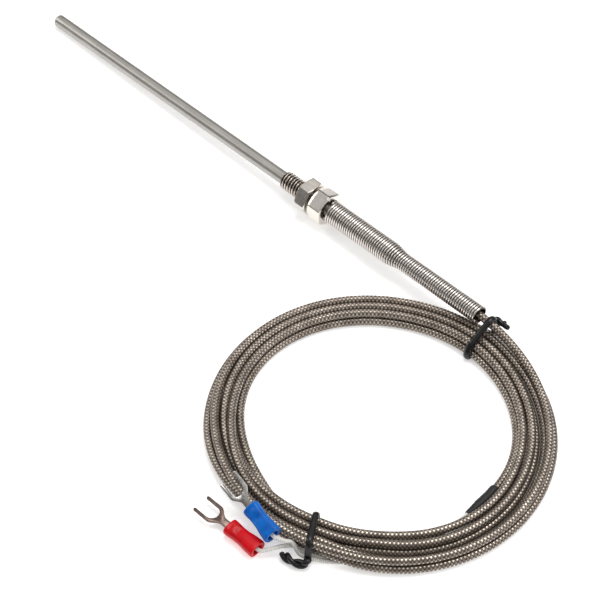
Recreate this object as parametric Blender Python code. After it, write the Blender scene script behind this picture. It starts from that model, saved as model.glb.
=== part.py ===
"""Screw-in thermocouple with a 100 mm probe, a spring strain relief and a coiled braided cable.

The probe lies along +X, its closed tip at -X, and the cable's coil lies flat beside its rear end.
The origin is under the middle of the probe and its spring, on the surface that everything rests on.
All sizes are in metres, +Z is up.
"""
import bpy
import bmesh
from math import asin, ceil, cos, pi, radians, sin, sqrt
from mathutils import Quaternion, Vector

# ---- Fits between neighbouring pieces ---------------------------------------------------------
GAP = 0.0003              # between pieces that touch end to end or lie on each other
RUNNING_FIT = 0.0001      # radial, where one piece turns on another
LOOSE_FIT = 0.00015       # radial, where one piece is slid into another
THREAD_FIT = 0.00016      # radial, between the two threads
FLOOR_CLEARANCE = 0.0002  # under the corners of the hexagon head as it turns

# ---- Sheath and what it holds -----------------------------------------------------------------
BARE_LENGTH = 0.100       # from the tip to the front of the thread
SHEATH_DIAMETER = 0.004
SHEATH_WALL = 0.00035
TIP_THICKNESS = 0.0011
TIP_EDGE_RADIUS = 0.0007
SHEATH_BEHIND_HEAD = 0.0072
WIRE_DIAMETER = 0.00045
WIRE_SPACING = 0.0015     # between the axes of the two wires
BEAD_RADIUS = 0.00045
BEAD_POSITION = 0.0019
BEAD_STRETCH = 1.3
WIRE_BEND_LENGTH = 0.0018
INSULATOR_BORE = 0.0007
INSULATOR_COUNT = 4
INSULATOR_START = 0.0044
INSULATOR_GAP = 0.0004
END_SEAL_LENGTH = 0.002

# ---- Fitting and lock nut ---------------------------------------------------------------------
THREAD_DIAMETER = 0.0059  # M6 over its crests
THREAD_ROOT_DIAMETER = 0.0048
THREAD_PITCH = 0.001
THREAD_END_CHAMFER = 0.0006
EXPOSED_THREAD = 0.0083
HEX_ACROSS_FLATS = 0.0098
HEX_CHAMFER_DEPTH = 0.0003
HEX_CHAMFER_ROUND = 0.0097  # diameter of the round that the chamfer leaves on a face
LOCK_NUT_LENGTH = 0.0041
NUT_TO_HEAD = 0.001
HEAD_LENGTH = 0.005
LOCK_NUT_TURN = radians(56)   # about the probe's axis, from a corner straight to the side
HEAD_TURN = radians(31)
NUT_CREST_DIAMETER = 0.00515  # the nut's thread is cut off at this diameter
NUT_COUNTERSINK_DIAMETER = 0.0064   # on both faces, at 45 degrees
COLLAR_FIT = 0.0002            # radial, in the counterbore
COLLAR_LENGTH = 0.0013
COLLAR_END_PLAY = 0.0002
COUNTERBORE_WALL = 0.0014     # left between the counterbore and a flat
GLAND_RING_LENGTH = 0.0011
GLAND_RING_INSET = 0.0001

# ---- Transition from the sheath to the cable --------------------------------------------------
TRANSITION_WALL = 0.00027
TRANSITION_LENGTH = 0.0218
TRANSITION_SETBACK = 0.0015   # behind the head
SPLICE_DIAMETER = 0.0012
SPLICE_BORE = 0.0007
SPLICE_LENGTH = 0.0045
SPLICE_SETBACK = 0.001        # behind the sheath's rear end
CORE_DIAMETER = 0.0005
CABLE_SETBACK = 0.0035        # from the splices to the cable's front face
POTTING_LENGTH = 0.006
POTTING_BORE_FIT = 0.0002

# ---- Spring strain relief ---------------------------------------------------------------------
SPRING_SETBACK = 0.00035      # behind the head
SPRING_LENGTH = 0.0594
SPRING_WIRE = 0.0008
SPRING_PITCH = 0.00084
SPRING_SLEEVE_FIT = 0.00038     # radial, over the transition sleeve
SPRING_CABLE_FIT = 0.00075      # radial, over the cable
SPRING_WIDE_LENGTH = 0.0238
SPRING_TAPER_LENGTH = 0.0056

# ---- Cable and its coil -----------------------------------------------------------------------
CABLE_DIAMETER = 0.0025
CABLE_SPLIT = 0.0015          # the cable's two solids meet this far inside the spring
COIL_FROM_SPRING = (0.0022, -0.04506)   # the coil's centre from the middle of the spring's end
COIL_LENGTH = 0.0998          # outside, along X
COIL_WIDTH = 0.0920           # outside, along Y
COIL_HOLE_LENGTH = 0.0816
COIL_HOLE_WIDTH = 0.0724
COIL_HEIGHT = 0.005
COIL_EDGE_RADIUS = 0.0016

# ---- Heat-shrink breakout, leads and terminals ------------------------------------------------
BREAKOUT_WALL = 0.00025
BREAKOUT_LEADS_FIT = 0.000075   # radial, over the two leads, one on the other
LEAD_DIAMETER = 0.00125
TERMINAL_SLEEVE_LENGTH = 0.0109
TERMINAL_SLEEVE_BORE = 0.003
SLEEVE_SQUARENESS = 2.6         # of its section: 2 is an ellipse
BARREL_DIAMETER = 0.0026
BARREL_BORE = 0.0017
BARREL_LENGTH = 0.0055
BARREL_CLOSED_LENGTH = 0.001
FORK_REACH = 0.0112           # from the sleeve's front to the tips
FORK_WIDTH = 0.0061
FORK_SLOT_WIDTH = 0.0043
FORK_SLOT_DEPTH = 0.0066
FORK_NECK_WIDTH = 0.0022
FORK_THICKNESS = 0.0007
FORK_SHOULDER_START = 0.0013    # ahead of the slot's floor
FORK_SHOULDER_LENGTH = 0.00365
LEAD_IN_SLEEVE = 0.0032

BREAKOUT_LIP = 0.0002
BREAKOUT_NECK = 0.0022
BREAKOUT_OVERLAP = 0.0045     # of the cable's end, inside the breakout
# share of the length, half width and half thickness
TERMINAL_SLEEVE_SECTIONS = ((0, 0.0027, 0.0019), (0.05, 0.0028, 0.00195), (0.3, 0.0026, 0.00185),
                            (0.48, 0.0023, 0.0018), (0.7, 0.0023, 0.0018), (0.95, 0.0026, 0.0018),
                            (1, 0.0025, 0.00175))

# ---- Twist ties -------------------------------------------------------------------------------
TIE_DIAMETER = 0.0010
TIE_HEIGHT = 0.00055          # of its middle, under the coil

# ---- Routes of what lies free, all but the first from the coil's centre --------------------------
# along X and Y from the spring's end, and the share of the drop onto the coil still to come
TAIL_SAG = 0.0001              # at the spring's end
TAIL_ROUTE = ((0.004, -0.0002, 0.72), (0.0085, -0.0006, 0.2), (0.0125, -0.0016, 0.0))
CABLE_END_ROUTE = ((0.0322, 0.0181, 0.0014), (0.0351, 0.0130, 0.0015))
BREAKOUT_ENDS = ((0.0381, 0.0066, 0.0018), (0.0366, -0.0056, 0.0018))
LEAD_START_ROUTE = ((0.0367, -0.0088, 0.00165), (0.0373, -0.0118, 0.0016))
RED_ENDS = ((0.00425, -0.0534, 0.0022), (-0.00665, -0.0534, 0.0022))
RED_ROLL = 0.0
RED_LEAD_ROUTE = ((0.0108, -0.0459, 0.0026), (0.0090, -0.0478, 0.0030), (0.0072, -0.0505, 0.0028),
                  (0.0056, -0.0527, 0.0023))
BLUE_ENDS = ((0.00575, -0.04895, 0.0058), (-0.00492, -0.0468, 0.00635))
BLUE_ROLL = radians(-35)
BLUE_LEAD_ROUTE = ((0.0104, -0.0461, 0.0041), (0.0090, -0.0475, 0.0050), (0.0072, -0.0486, 0.0056))
UPPER_TIE_MIDDLE = (0.0012, 0.0411, 0)
UPPER_TIE_HEADING = radians(90)
UPPER_TIE_TAIL = ((0.0052, 0.0503, 0.0058), (0.0033, 0.0490, 0.0064))
UPPER_TIE_LOOP = ((0.0062, 0.0050, 0.57), (0.0061, 0.0050, 1.07), (0.0052, 0.0050, 1.48),
                  (0.0036, 0.0050, 1.55), (0.0014, 0.0050, 1.29), (-0.0018, 0.0050, 0.73),
                  (-0.0046, 0.0050, 0.25), (-0.0057, 0.0040, 0), (-0.0057, 0.0019, 0),
                  (-0.0048, 0.00075, 0), (-0.0030, 0.00055, 0), (0.0030, 0.00055, 0),
                  (0.0048, 0.00075, 0), (0.0057, 0.0019, 0), (0.0058, 0.0036, 0))
LOWER_TIE_MIDDLE = (0.0118, -0.0397, 0)
LOWER_TIE_HEADING = radians(-57)
LOWER_TIE_TAIL = ((0.0088, -0.0497, 0.0008), (0.0124, -0.0500, 0.0009), (0.0160, -0.0484, 0.0012))
LOWER_TIE_LOOP = ((0.0062, 0.0030, 0), (0.0058, 0.0048, 0), (0.0046, 0.0058, 0), (0.0022, 0.0059, 0),
                  (-0.0022, 0.0059, 0), (-0.0050, 0.0057, 0), (-0.0061, 0.0044, 0), (-0.0062, 0.0020, 0),
                  (-0.0052, 0.00075, 0), (-0.0030, 0.00055, 0), (0.0034, 0.00055, 0), (0.0049, 0.0006, 0))

# ---- Smoothness -------------------------------------------------------------------------------
ROUND_SIDES = 24
SMALL_SIDES = 10
CORE_SIDES = 12
TUBE_SIDES = 16
ARC_STEPS = 5                 # along each round of the fork's outline
THREAD_SIDES = 18             # a multiple of six, so that a hexagon's corners fall on it
THREAD_ROWS_PER_PITCH = 5
SPRING_STEPS_PER_TURN = 8
COIL_STEPS = 64

# ---- Places along the probe's axis, measured from the tip --------------------------------------
THREAD_FRONT = BARE_LENGTH
NUT_FRONT = THREAD_FRONT + EXPOSED_THREAD
NUT_REAR = NUT_FRONT + LOCK_NUT_LENGTH
HEAD_FRONT = NUT_REAR + NUT_TO_HEAD
HEAD_REAR = HEAD_FRONT + HEAD_LENGTH
SHEATH_END = HEAD_REAR + SHEATH_BEHIND_HEAD
SPLICE_START = SHEATH_END + SPLICE_SETBACK
SPLICE_END = SPLICE_START + SPLICE_LENGTH
CABLE_START = SPLICE_END + CABLE_SETBACK
TRANSITION_START = HEAD_REAR + TRANSITION_SETBACK
TRANSITION_END = TRANSITION_START + TRANSITION_LENGTH
SPRING_START = HEAD_REAR + SPRING_SETBACK
SPRING_END = SPRING_START + SPRING_LENGTH
CABLE_SPLIT_POSITION = SPRING_END - CABLE_SPLIT
TRANSITION_DIAMETER = SHEATH_DIAMETER + 2 * (LOOSE_FIT + TRANSITION_WALL)
SPRING_WIDE_DIAMETER = TRANSITION_DIAMETER + 2 * (SPRING_SLEEVE_FIT + SPRING_WIRE)
SPRING_NARROW_DIAMETER = CABLE_DIAMETER + 2 * (SPRING_CABLE_FIT + SPRING_WIRE)
LEAD_STACK = 2 * LEAD_DIAMETER + GAP / 2
BREAKOUT_BORE = max(CABLE_DIAMETER + 2 * LOOSE_FIT, LEAD_STACK + 2 * BREAKOUT_LEADS_FIT)
CHANNEL_REACH = (COIL_WIDTH - COIL_HOLE_WIDTH) / 2   # each way from a tie's middle
ARC_MIDDLE = 1 - 1 / sqrt(2)   # share of a corner's radius that its arc leaves at 45 degrees


# ---- Materials --------------------------------------------------------------------------------
def principled(name, color, roughness, metallic=0.0):
    material = bpy.data.materials.new(name)
    material.use_nodes = True
    shader = material.node_tree.nodes["Principled BSDF"]
    shader.inputs["Base Color"].default_value = (*color, 1.0)
    shader.inputs["Roughness"].default_value = roughness
    shader.inputs["Metallic"].default_value = metallic
    material.diffuse_color = (*color, 1.0)
    return material


# ---- Building helpers -------------------------------------------------------------------------
def add_object(name, data, material, parent=None):
    made = bpy.data.objects.new(name, data)
    bpy.context.scene.collection.objects.link(made)
    made.parent = parent
    if material is not None:
        data.materials.append(material)
    return made


def mesh_from(name, vertices, faces):
    """A mesh with its faces turned outwards and its gentle edges shaded smooth."""
    body = bmesh.new()
    corners = [body.verts.new(place) for place in vertices]
    for face in faces:
        body.faces.new([corners[index] for index in face])
    bmesh.ops.recalc_face_normals(body, faces=body.faces)
    mesh = bpy.data.meshes.new(name)
    body.to_mesh(mesh)
    body.free()
    mesh.shade_smooth()
    mesh.set_sharp_from_angle(angle=radians(35))
    return mesh


def ring_loft(rings, closed):
    """Vertices and faces of a skin over equal rings of points. A closed loft ends where it starts;
    an open one is capped at both ends."""
    sides = len(rings[0])
    vertices = [place for ring in rings for place in ring]
    faces = []
    for row in range(len(rings) if closed else len(rings) - 1):
        below = row * sides
        above = (row + 1) % len(rings) * sides
        for side in range(sides):
            after = (side + 1) % sides
            faces.append((below + side, below + after, above + after, above + side))
    if not closed:
        faces.append(tuple(range(sides))[::-1])
        faces.append(tuple(range(len(vertices) - sides, len(vertices))))
    return vertices, faces


def turned(name, profile, material, parent, position=0.0, offset=0.0, sides=ROUND_SIDES, turn=0.0,
           bored=True):
    """A piece turned about the probe's axis. profile lists (place along the axis, radius), where a
    radius may be a function of the angle; a bored piece's profile runs all the way round its wall.
    The object's origin is at position on the axis, or at offset beside it."""
    rings = []
    for along, radius in profile:
        ring = []
        for side in range(sides):
            angle = 2 * pi * side / sides
            reach = radius(angle) if callable(radius) else radius
            ring.append((along - position, reach * cos(angle + turn), reach * sin(angle + turn)))
        rings.append(ring)
    made = add_object(name, mesh_from(name, *ring_loft(rings, bored)), material, parent)
    made.location = (position, offset, 0)
    return made


def tube_profile(start, end, outer, inner):
    return [(start, outer), (end, outer), (end, inner), (start, inner)]


def smooth_route(points, spacing):
    """Points along a smooth curve through the given ones, about spacing apart."""
    points = [Vector(point) for point in points]
    padded = [2 * points[0] - points[1], *points, 2 * points[-1] - points[-2]]
    route = []
    for before, start, end, after in zip(padded, padded[1:], padded[2:], padded[3:]):
        steps = max(1, round((end - start).length / spacing))
        for step in range(steps):
            t = step / steps
            route.append(0.5 * (2 * start + (end - before) * t
                                + (2 * before - 5 * start + 4 * end - after) * t ** 2
                                + (3 * start - before - 3 * end + after) * t ** 3))
    return [*route, points[-1]]


def cord(name, points, diameter, material, parent=None):
    """A round tube with closed ends along the points."""
    curve = bpy.data.curves.new(name, "CURVE")
    curve.dimensions = "3D"
    curve.bevel_depth = diameter / 2
    curve.bevel_resolution = 2
    curve.use_fill_caps = True
    spline = curve.splines.new("POLY")
    spline.points.add(len(points) - 1)
    for target, place in zip(spline.points, points):
        target.co = (*place, 1.0)
    return add_object(name, curve, material, parent)


def combine(target, tool, operation):
    """Cut the tool from the target, or join the two, and hide the tool."""
    modifier = target.modifiers.new(tool.name, "BOOLEAN")
    modifier.operation = operation
    modifier.solver = "EXACT"
    modifier.object = tool
    tool.hide_render = True
    tool.display_type = "WIRE"


# ---- Hexagons and threads ---------------------------------------------------------------------
def hexagon(angle):
    """Distance from the axis to a hexagon's side, with a corner at angle 0."""
    return HEX_ACROSS_FLATS / 2 / cos(angle % (pi / 3) - pi / 6)


def chamfered_hexagon(angle):
    return min(hexagon(angle), HEX_CHAMFER_ROUND / 2)


def thread_height(along, angle):
    """Height of the thread's surface over its root: flat crests and roots, 60 degree flanks."""
    phase = (along / THREAD_PITCH - angle / (2 * pi)) % 1.0
    from_crest = min(phase, 1 - phase) * THREAD_PITCH - THREAD_PITCH / 16
    full = (THREAD_DIAMETER - THREAD_ROOT_DIAMETER) / 2
    return max(0.0, full - max(0.0, from_crest) * sqrt(3))


def thread_rows(start, end, radius_at):
    """Profile points of a threaded stretch; radius_at(along, angle) gives its surface."""
    count = ceil((end - start) / THREAD_PITCH * THREAD_ROWS_PER_PITCH)
    rows = []
    for row in range(count + 1):
        along = start + (end - start) * row / count
        rows.append((along, lambda angle, along=along: radius_at(along, angle)))
    return rows


def hexagon_rows(start, end):
    return [(start, chamfered_hexagon), (start + HEX_CHAMFER_DEPTH, hexagon),
            (end - HEX_CHAMFER_DEPTH, hexagon), (end, chamfered_hexagon)]


# ---- The probe's frame ------------------------------------------------------------------------
def probe_tilt():
    """The probe rises from its tip until its head clears the surface and its spring the coil."""
    head_corner = HEX_ACROSS_FLATS / sqrt(3) + FLOOR_CLEARANCE
    for_head = asin((head_corner - SHEATH_DIAMETER / 2) / HEAD_FRONT)
    over_coil = COIL_HEIGHT + GAP + SPRING_NARROW_DIAMETER / 2
    for_coil = asin((over_coil - SHEATH_DIAMETER / 2) / SPRING_END)
    return max(for_head, for_coil)


def make_axis():
    """An empty on the probe's axis at the tip, with the axis as its own X."""
    axis = add_object("probe_axis", None, None)
    axis.rotation_euler = (0, -probe_tilt(), 0)
    return axis


def place_over_origin(axis, pieces):
    """Moves the probe so that the origin is at the middle of its underside."""
    bpy.context.view_layer.update()
    graph = bpy.context.evaluated_depsgraph_get()
    corners = []
    for piece in pieces:
        evaluated = piece.evaluated_get(graph)
        mesh = evaluated.to_mesh()
        corners += [evaluated.matrix_world @ vertex.co for vertex in mesh.vertices]
        evaluated.to_mesh_clear()
    lows = [min(corner[side] for corner in corners) for side in range(3)]
    highs = [max(corner[side] for corner in corners) for side in range(3)]
    axis.location = (-(lows[0] + highs[0]) / 2, -(lows[1] + highs[1]) / 2, -lows[2])
    bpy.context.view_layer.update()


# ---- Sheath and what it holds -----------------------------------------------------------------
def make_sheath(axis):
    outer = SHEATH_DIAMETER / 2
    inner = outer - SHEATH_WALL
    flat = outer - TIP_EDGE_RADIUS
    profile = []
    for step in range(4):
        angle = radians(30) * step
        profile.append((TIP_EDGE_RADIUS * (1 - cos(angle)), flat + TIP_EDGE_RADIUS * sin(angle)))
    profile += [(SHEATH_END, outer), (SHEATH_END, inner), (TIP_THICKNESS, inner)]
    return turned("probe_sheath", profile, STEEL, axis, bored=False)


def make_bead(axis):
    rows = 8
    profile = []
    for row in range(1, rows):
        angle = pi * row / rows
        profile.append((BEAD_POSITION - BEAD_RADIUS * cos(angle), BEAD_RADIUS * sin(angle)))
    bead = turned("hot_junction_bead", profile, JUNCTION, axis, BEAD_POSITION, sides=CORE_SIDES, bored=False)
    bead.scale = (1, BEAD_STRETCH, 1)
    return bead


def make_wire(name, side, material, axis):
    """A thermocouple wire from the bead to its splice; side is +1 or -1."""
    start = BEAD_POSITION + BEAD_RADIUS + LOOSE_FIT
    away = side * WIRE_SPACING / 2
    near = side * (WIRE_DIAMETER / 2 + LOOSE_FIT)
    bend = [(start, near, 0), (start + WIRE_BEND_LENGTH / 2, (near + away) / 2, 0),
            (start + WIRE_BEND_LENGTH, away, 0)]
    end = SPLICE_START + SPLICE_LENGTH / 2 - GAP
    return cord(name, [*smooth_route(bend, WIRE_DIAMETER), (end, away, 0)], WIRE_DIAMETER, material,
                axis)


def two_bored(name, start, end, material, axis):
    """A round rod with a bore for each wire."""
    outer = SHEATH_DIAMETER / 2 - SHEATH_WALL - LOOSE_FIT
    rod = turned(name, [(start, outer), (end, outer)], material, axis, bored=False)
    for side in (1, -1):
        drill = turned(f"{name}_drill", [(start - GAP, INSULATOR_BORE / 2), (end + GAP, INSULATOR_BORE / 2)],
                       None, axis, offset=side * WIRE_SPACING / 2, sides=SMALL_SIDES, bored=False)
        combine(rod, drill, "DIFFERENCE")
    return rod


def make_insulators(axis):
    seal_start = SHEATH_END - GAP - END_SEAL_LENGTH
    room = seal_start - INSULATOR_START
    pitch = room / INSULATOR_COUNT
    pieces = []
    for index in range(INSULATOR_COUNT):
        start = INSULATOR_START + index * pitch
        pieces.append(two_bored(f"ceramic_insulator_{index + 1}", start, start + pitch - INSULATOR_GAP,
                                CERAMIC, axis))
    pieces.append(two_bored("sheath_end_seal", seal_start, seal_start + END_SEAL_LENGTH, CEMENT, axis))
    return pieces


# ---- Fitting and lock nut ---------------------------------------------------------------------
def fitting_surface(along, angle):
    chamfer = THREAD_DIAMETER / 2 - (THREAD_FRONT + THREAD_END_CHAMFER - along)
    return min(THREAD_ROOT_DIAMETER / 2 + thread_height(along, angle), chamfer)


def nut_surface(along, angle):
    mating = THREAD_ROOT_DIAMETER / 2 + thread_height(along, angle) + THREAD_FIT
    countersink = NUT_COUNTERSINK_DIAMETER / 2 - min(along - NUT_FRONT, NUT_REAR - along)
    return max(mating, NUT_CREST_DIAMETER / 2, countersink)


def make_fitting(axis):
    """The threaded stem and its hexagon head in one piece, bored for the sheath. The thread is cut
    straight through to the head, so its phase suits the lock nut anywhere along it."""
    bore = SHEATH_DIAMETER / 2 + RUNNING_FIT
    counterbore = HEX_ACROSS_FLATS / 2 - COUNTERBORE_WALL
    floor_at = HEAD_REAR - (GLAND_RING_INSET + GLAND_RING_LENGTH + COLLAR_LENGTH + 2 * COLLAR_END_PLAY)
    profile = [*thread_rows(THREAD_FRONT, HEAD_FRONT, fitting_surface),
               *hexagon_rows(HEAD_FRONT, HEAD_REAR),
               (HEAD_REAR, counterbore), (floor_at, counterbore), (floor_at, bore), (THREAD_FRONT, bore)]
    return turned("threaded_fitting", profile, PLATED, axis, HEAD_FRONT, sides=THREAD_SIDES, turn=HEAD_TURN)


def make_lock_nut(axis):
    """The nut's thread is turned with the fitting's, so that the two stay in mesh."""
    def surface(along, angle):
        return nut_surface(along, angle + LOCK_NUT_TURN - HEAD_TURN)

    bore = thread_rows(NUT_FRONT, NUT_REAR, surface)
    profile = [*hexagon_rows(NUT_FRONT, NUT_REAR), *bore[::-1]]
    return turned("lock_nut", profile, PLATED, axis, NUT_FRONT, sides=THREAD_SIDES, turn=LOCK_NUT_TURN)


def make_swivel(axis):
    """The collar on the sheath turns in the head's counterbore, behind a pressed ring."""
    counterbore = HEX_ACROSS_FLATS / 2 - COUNTERBORE_WALL
    bore = SHEATH_DIAMETER / 2 + RUNNING_FIT
    ring_end = HEAD_REAR - GLAND_RING_INSET
    ring_start = ring_end - GLAND_RING_LENGTH
    collar_end = ring_start - COLLAR_END_PLAY
    collar = turned("retaining_collar", tube_profile(collar_end - COLLAR_LENGTH, collar_end,
                                                     counterbore - COLLAR_FIT, bore), STEEL, axis)
    ring = turned("gland_ring", tube_profile(ring_start, ring_end, counterbore - LOOSE_FIT, bore),
                  PLATED, axis, HEAD_FRONT)
    return collar, ring


# ---- Transition from the sheath to the cable --------------------------------------------------
def make_transition(axis):
    bore = SHEATH_DIAMETER / 2 + LOOSE_FIT
    walls = tube_profile(TRANSITION_START, TRANSITION_END, TRANSITION_DIAMETER / 2, bore)
    sleeve = turned("transition_sleeve", walls, STEEL, axis)
    potting = turned("cable_potting",
                     tube_profile(TRANSITION_END - POTTING_LENGTH, TRANSITION_END - GAP, bore - LOOSE_FIT,
                                  CABLE_DIAMETER / 2 + POTTING_BORE_FIT), CEMENT, axis)
    pieces = [sleeve, potting]
    for name, side, material in (("positive", 1, POSITIVE_WIRE), ("negative", -1, NEGATIVE_WIRE)):
        beside = side * WIRE_SPACING / 2
        pieces.append(turned(f"splice_{name}",
                             tube_profile(SPLICE_START, SPLICE_END, SPLICE_DIAMETER / 2, SPLICE_BORE / 2),
                             COPPER, axis, offset=beside, sides=CORE_SIDES))
        core_start = (SPLICE_START + SPLICE_END) / 2
        pieces.append(turned(f"cable_core_{name}",
                             [(core_start, CORE_DIAMETER / 2), (CABLE_START - GAP, CORE_DIAMETER / 2)],
                             material, axis, offset=beside, sides=SMALL_SIDES, bored=False))
    return pieces


# ---- Spring strain relief ---------------------------------------------------------------------
def spring_radius(along):
    """Radius of the wire's centre line: wide, then tapering to narrow."""
    wide = (SPRING_WIDE_DIAMETER - SPRING_WIRE) / 2
    narrow = (SPRING_NARROW_DIAMETER - SPRING_WIRE) / 2
    share = (along - SPRING_START - SPRING_WIDE_LENGTH) / SPRING_TAPER_LENGTH
    return wide + (narrow - wide) * min(1.0, max(0.0, share))


def make_spring(axis):
    """One wire wound round the axis, with a four-sided section."""
    first = SPRING_START + SPRING_WIRE / 2
    last = SPRING_END - SPRING_WIRE / 2
    steps = round((last - first) / SPRING_PITCH * SPRING_STEPS_PER_TURN)
    rings = []
    for step in range(steps + 1):
        angle = 2 * pi * step / SPRING_STEPS_PER_TURN
        along = first + (last - first) * step / steps
        outward = Vector((0, cos(angle), sin(angle)))
        centre = Vector((along, 0, 0)) + spring_radius(along) * outward
        half = SPRING_WIRE / 2
        rings.append([centre + half * outward, centre + Vector((half, 0, 0)),
                      centre - half * outward, centre - Vector((half, 0, 0))])
    return add_object("strain_relief_spring", mesh_from("strain_relief_spring", *ring_loft(rings, False)),
                      SPRING_STEEL, axis)


def make_held_cable(axis):
    """The cable inside the transition sleeve and the spring."""
    radius = CABLE_DIAMETER / 2
    return turned("cable_in_spring", [(CABLE_START, radius), (CABLE_SPLIT_POSITION, radius)], BRAID, axis,
                  sides=CORE_SIDES, bored=False)


# ---- Coil and the free cable ------------------------------------------------------------------
def on_ellipse(length, width, angle):
    return Vector((length / 2 * cos(angle), width / 2 * sin(angle), 0))


def make_coil(centre):
    """The outer shape of all the turns, as a ring that is a little longer than it is wide."""
    rings = []
    for step in range(COIL_STEPS):
        angle = 2 * pi * step / COIL_STEPS
        outer = on_ellipse(COIL_LENGTH, COIL_WIDTH, angle)
        inner = on_ellipse(COIL_HOLE_LENGTH, COIL_HOLE_WIDTH, angle)
        inward = (inner - outer).normalized() * COIL_EDGE_RADIUS
        rise = Vector((0, 0, COIL_EDGE_RADIUS))
        lower_outer = [outer + inward, outer + ARC_MIDDLE * (inward + rise), outer + rise]
        lower_inner = [inner + rise, inner + ARC_MIDDLE * (rise - inward), inner - inward]
        upper_outer = [Vector((spot.x, spot.y, COIL_HEIGHT - spot.z)) for spot in lower_outer[::-1]]
        upper_inner = [Vector((spot.x, spot.y, COIL_HEIGHT - spot.z)) for spot in lower_inner[::-1]]
        rings.append([*lower_outer, *upper_outer, *upper_inner, *lower_inner])
    coil = add_object("cable_coil", mesh_from("cable_coil", *ring_loft(rings, True)), BRAID)
    coil.location = centre
    return coil


def make_tail(axis, spring_end, centre):
    """The cable from the spring's end down onto the coil."""
    on_coil = COIL_HEIGHT + GAP + CABLE_DIAMETER / 2
    start = axis.matrix_world @ Vector((CABLE_SPLIT_POSITION + GAP, 0, 0))
    drop = spring_end.z - on_coil
    route = [start, spring_end - Vector((0, 0, TAIL_SAG))]
    for along, across, share in TAIL_ROUTE:
        route.append(Vector((spring_end.x + along, spring_end.y + across, on_coil + drop * share)))
    return cord("cable_tail", smooth_route(route, CABLE_DIAMETER), CABLE_DIAMETER, BRAID)


def place(points, centre):
    return [centre + Vector(point) for point in points]


# ---- Heat-shrink breakout and the leads inside the coil ----------------------------------------
def frame_along(name, start, end, roll=0.0):
    """An empty at start whose X points to end, rolled about it."""
    frame = add_object(name, None, None)
    frame.location = start
    frame.rotation_mode = "QUATERNION"
    towards = (end - start).to_track_quat("X", "Z")
    frame.rotation_quaternion = towards @ Quaternion((1, 0, 0), roll)
    return frame


def make_breakout(centre):
    start, end = place(BREAKOUT_ENDS, centre)
    length = (end - start).length
    step = (end - start) / length
    frame = frame_along("breakout_axis", start, end)
    bore = BREAKOUT_BORE / 2
    outer = bore + BREAKOUT_WALL
    profile = [(0, outer - BREAKOUT_LIP), (BREAKOUT_LIP, outer), (length - BREAKOUT_NECK, outer),
               (length, bore + BREAKOUT_LIP), (length, bore), (0, bore)]
    turned("breakout_sleeve", profile, BLACK_PLASTIC, frame, sides=TUBE_SIDES)

    inside = start + step * BREAKOUT_OVERLAP
    route = [*place(CABLE_END_ROUTE, centre), start - step * CABLE_DIAMETER / 2, start, inside]
    cord("cable_end", smooth_route(route, CABLE_DIAMETER), CABLE_DIAMETER, BRAID)
    for name, side in (("positive", -1), ("negative", 1)):
        lift = Vector((0, 0, side * (LEAD_DIAMETER / 2 + GAP / 4)))
        route = [inside + step * GAP + lift, end + lift]
        route += [point + lift for point in place(LEAD_START_ROUTE, centre)]
        cord(f"lead_{name}_start", smooth_route(route, LEAD_DIAMETER * 2), LEAD_DIAMETER, GLASS_YARN)


# ---- Terminals --------------------------------------------------------------------------------
def superellipse(along, half_width, half_height):
    ring = []
    for side in range(ROUND_SIDES):
        angle = 2 * pi * side / ROUND_SIDES
        across = abs(cos(angle)) ** (2 / SLEEVE_SQUARENESS) * (1 if cos(angle) > 0 else -1)
        upward = abs(sin(angle)) ** (2 / SLEEVE_SQUARENESS) * (1 if sin(angle) > 0 else -1)
        ring.append((along, half_width * across, half_height * upward))
    return ring


def make_terminal_sleeve(name, material, frame):
    """A flared plastic sleeve, pinched flat by the crimp, with a round bore."""
    rings = [superellipse(share * TERMINAL_SLEEVE_LENGTH, half_width, half_height)
             for share, half_width, half_height in TERMINAL_SLEEVE_SECTIONS]
    bore = TERMINAL_SLEEVE_BORE / 2
    for along in (TERMINAL_SLEEVE_LENGTH, 0):
        turns = [2 * pi * side / ROUND_SIDES for side in range(ROUND_SIDES)]
        rings.append([(along, bore * cos(turn), bore * sin(turn)) for turn in turns])
    return add_object(name, mesh_from(name, *ring_loft(rings, True)), material, frame)


def fork_outline():
    """One side of the fork's flat outline, from the slot's floor round the tip to the neck."""
    tip = TERMINAL_SLEEVE_LENGTH + FORK_REACH
    slot = FORK_SLOT_WIDTH / 2
    half = FORK_WIDTH / 2
    floor_centre = tip - FORK_SLOT_DEPTH + slot
    points = []
    for step in range(ARC_STEPS + 1):
        angle = pi / 2 * step / ARC_STEPS
        points.append((floor_centre - slot * cos(angle), slot * sin(angle)))
    tine_middle = (slot + half) / 2
    tine_half = (half - slot) / 2
    for step in range(ARC_STEPS + 1):
        angle = pi * step / ARC_STEPS
        points.append((tip - tine_half + tine_half * sin(angle), tine_middle - tine_half * cos(angle)))
    neck = FORK_NECK_WIDTH / 2
    shoulder = floor_centre - slot
    for step in range(ARC_STEPS + 1):
        share = step / ARC_STEPS
        blend = share * share * (3 - 2 * share)
        along = shoulder + FORK_SHOULDER_START - share * FORK_SHOULDER_LENGTH
        points.append((along, half - (half - neck) * blend))
    points.append((TERMINAL_SLEEVE_LENGTH - BARREL_CLOSED_LENGTH / 2, neck))
    return points


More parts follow.
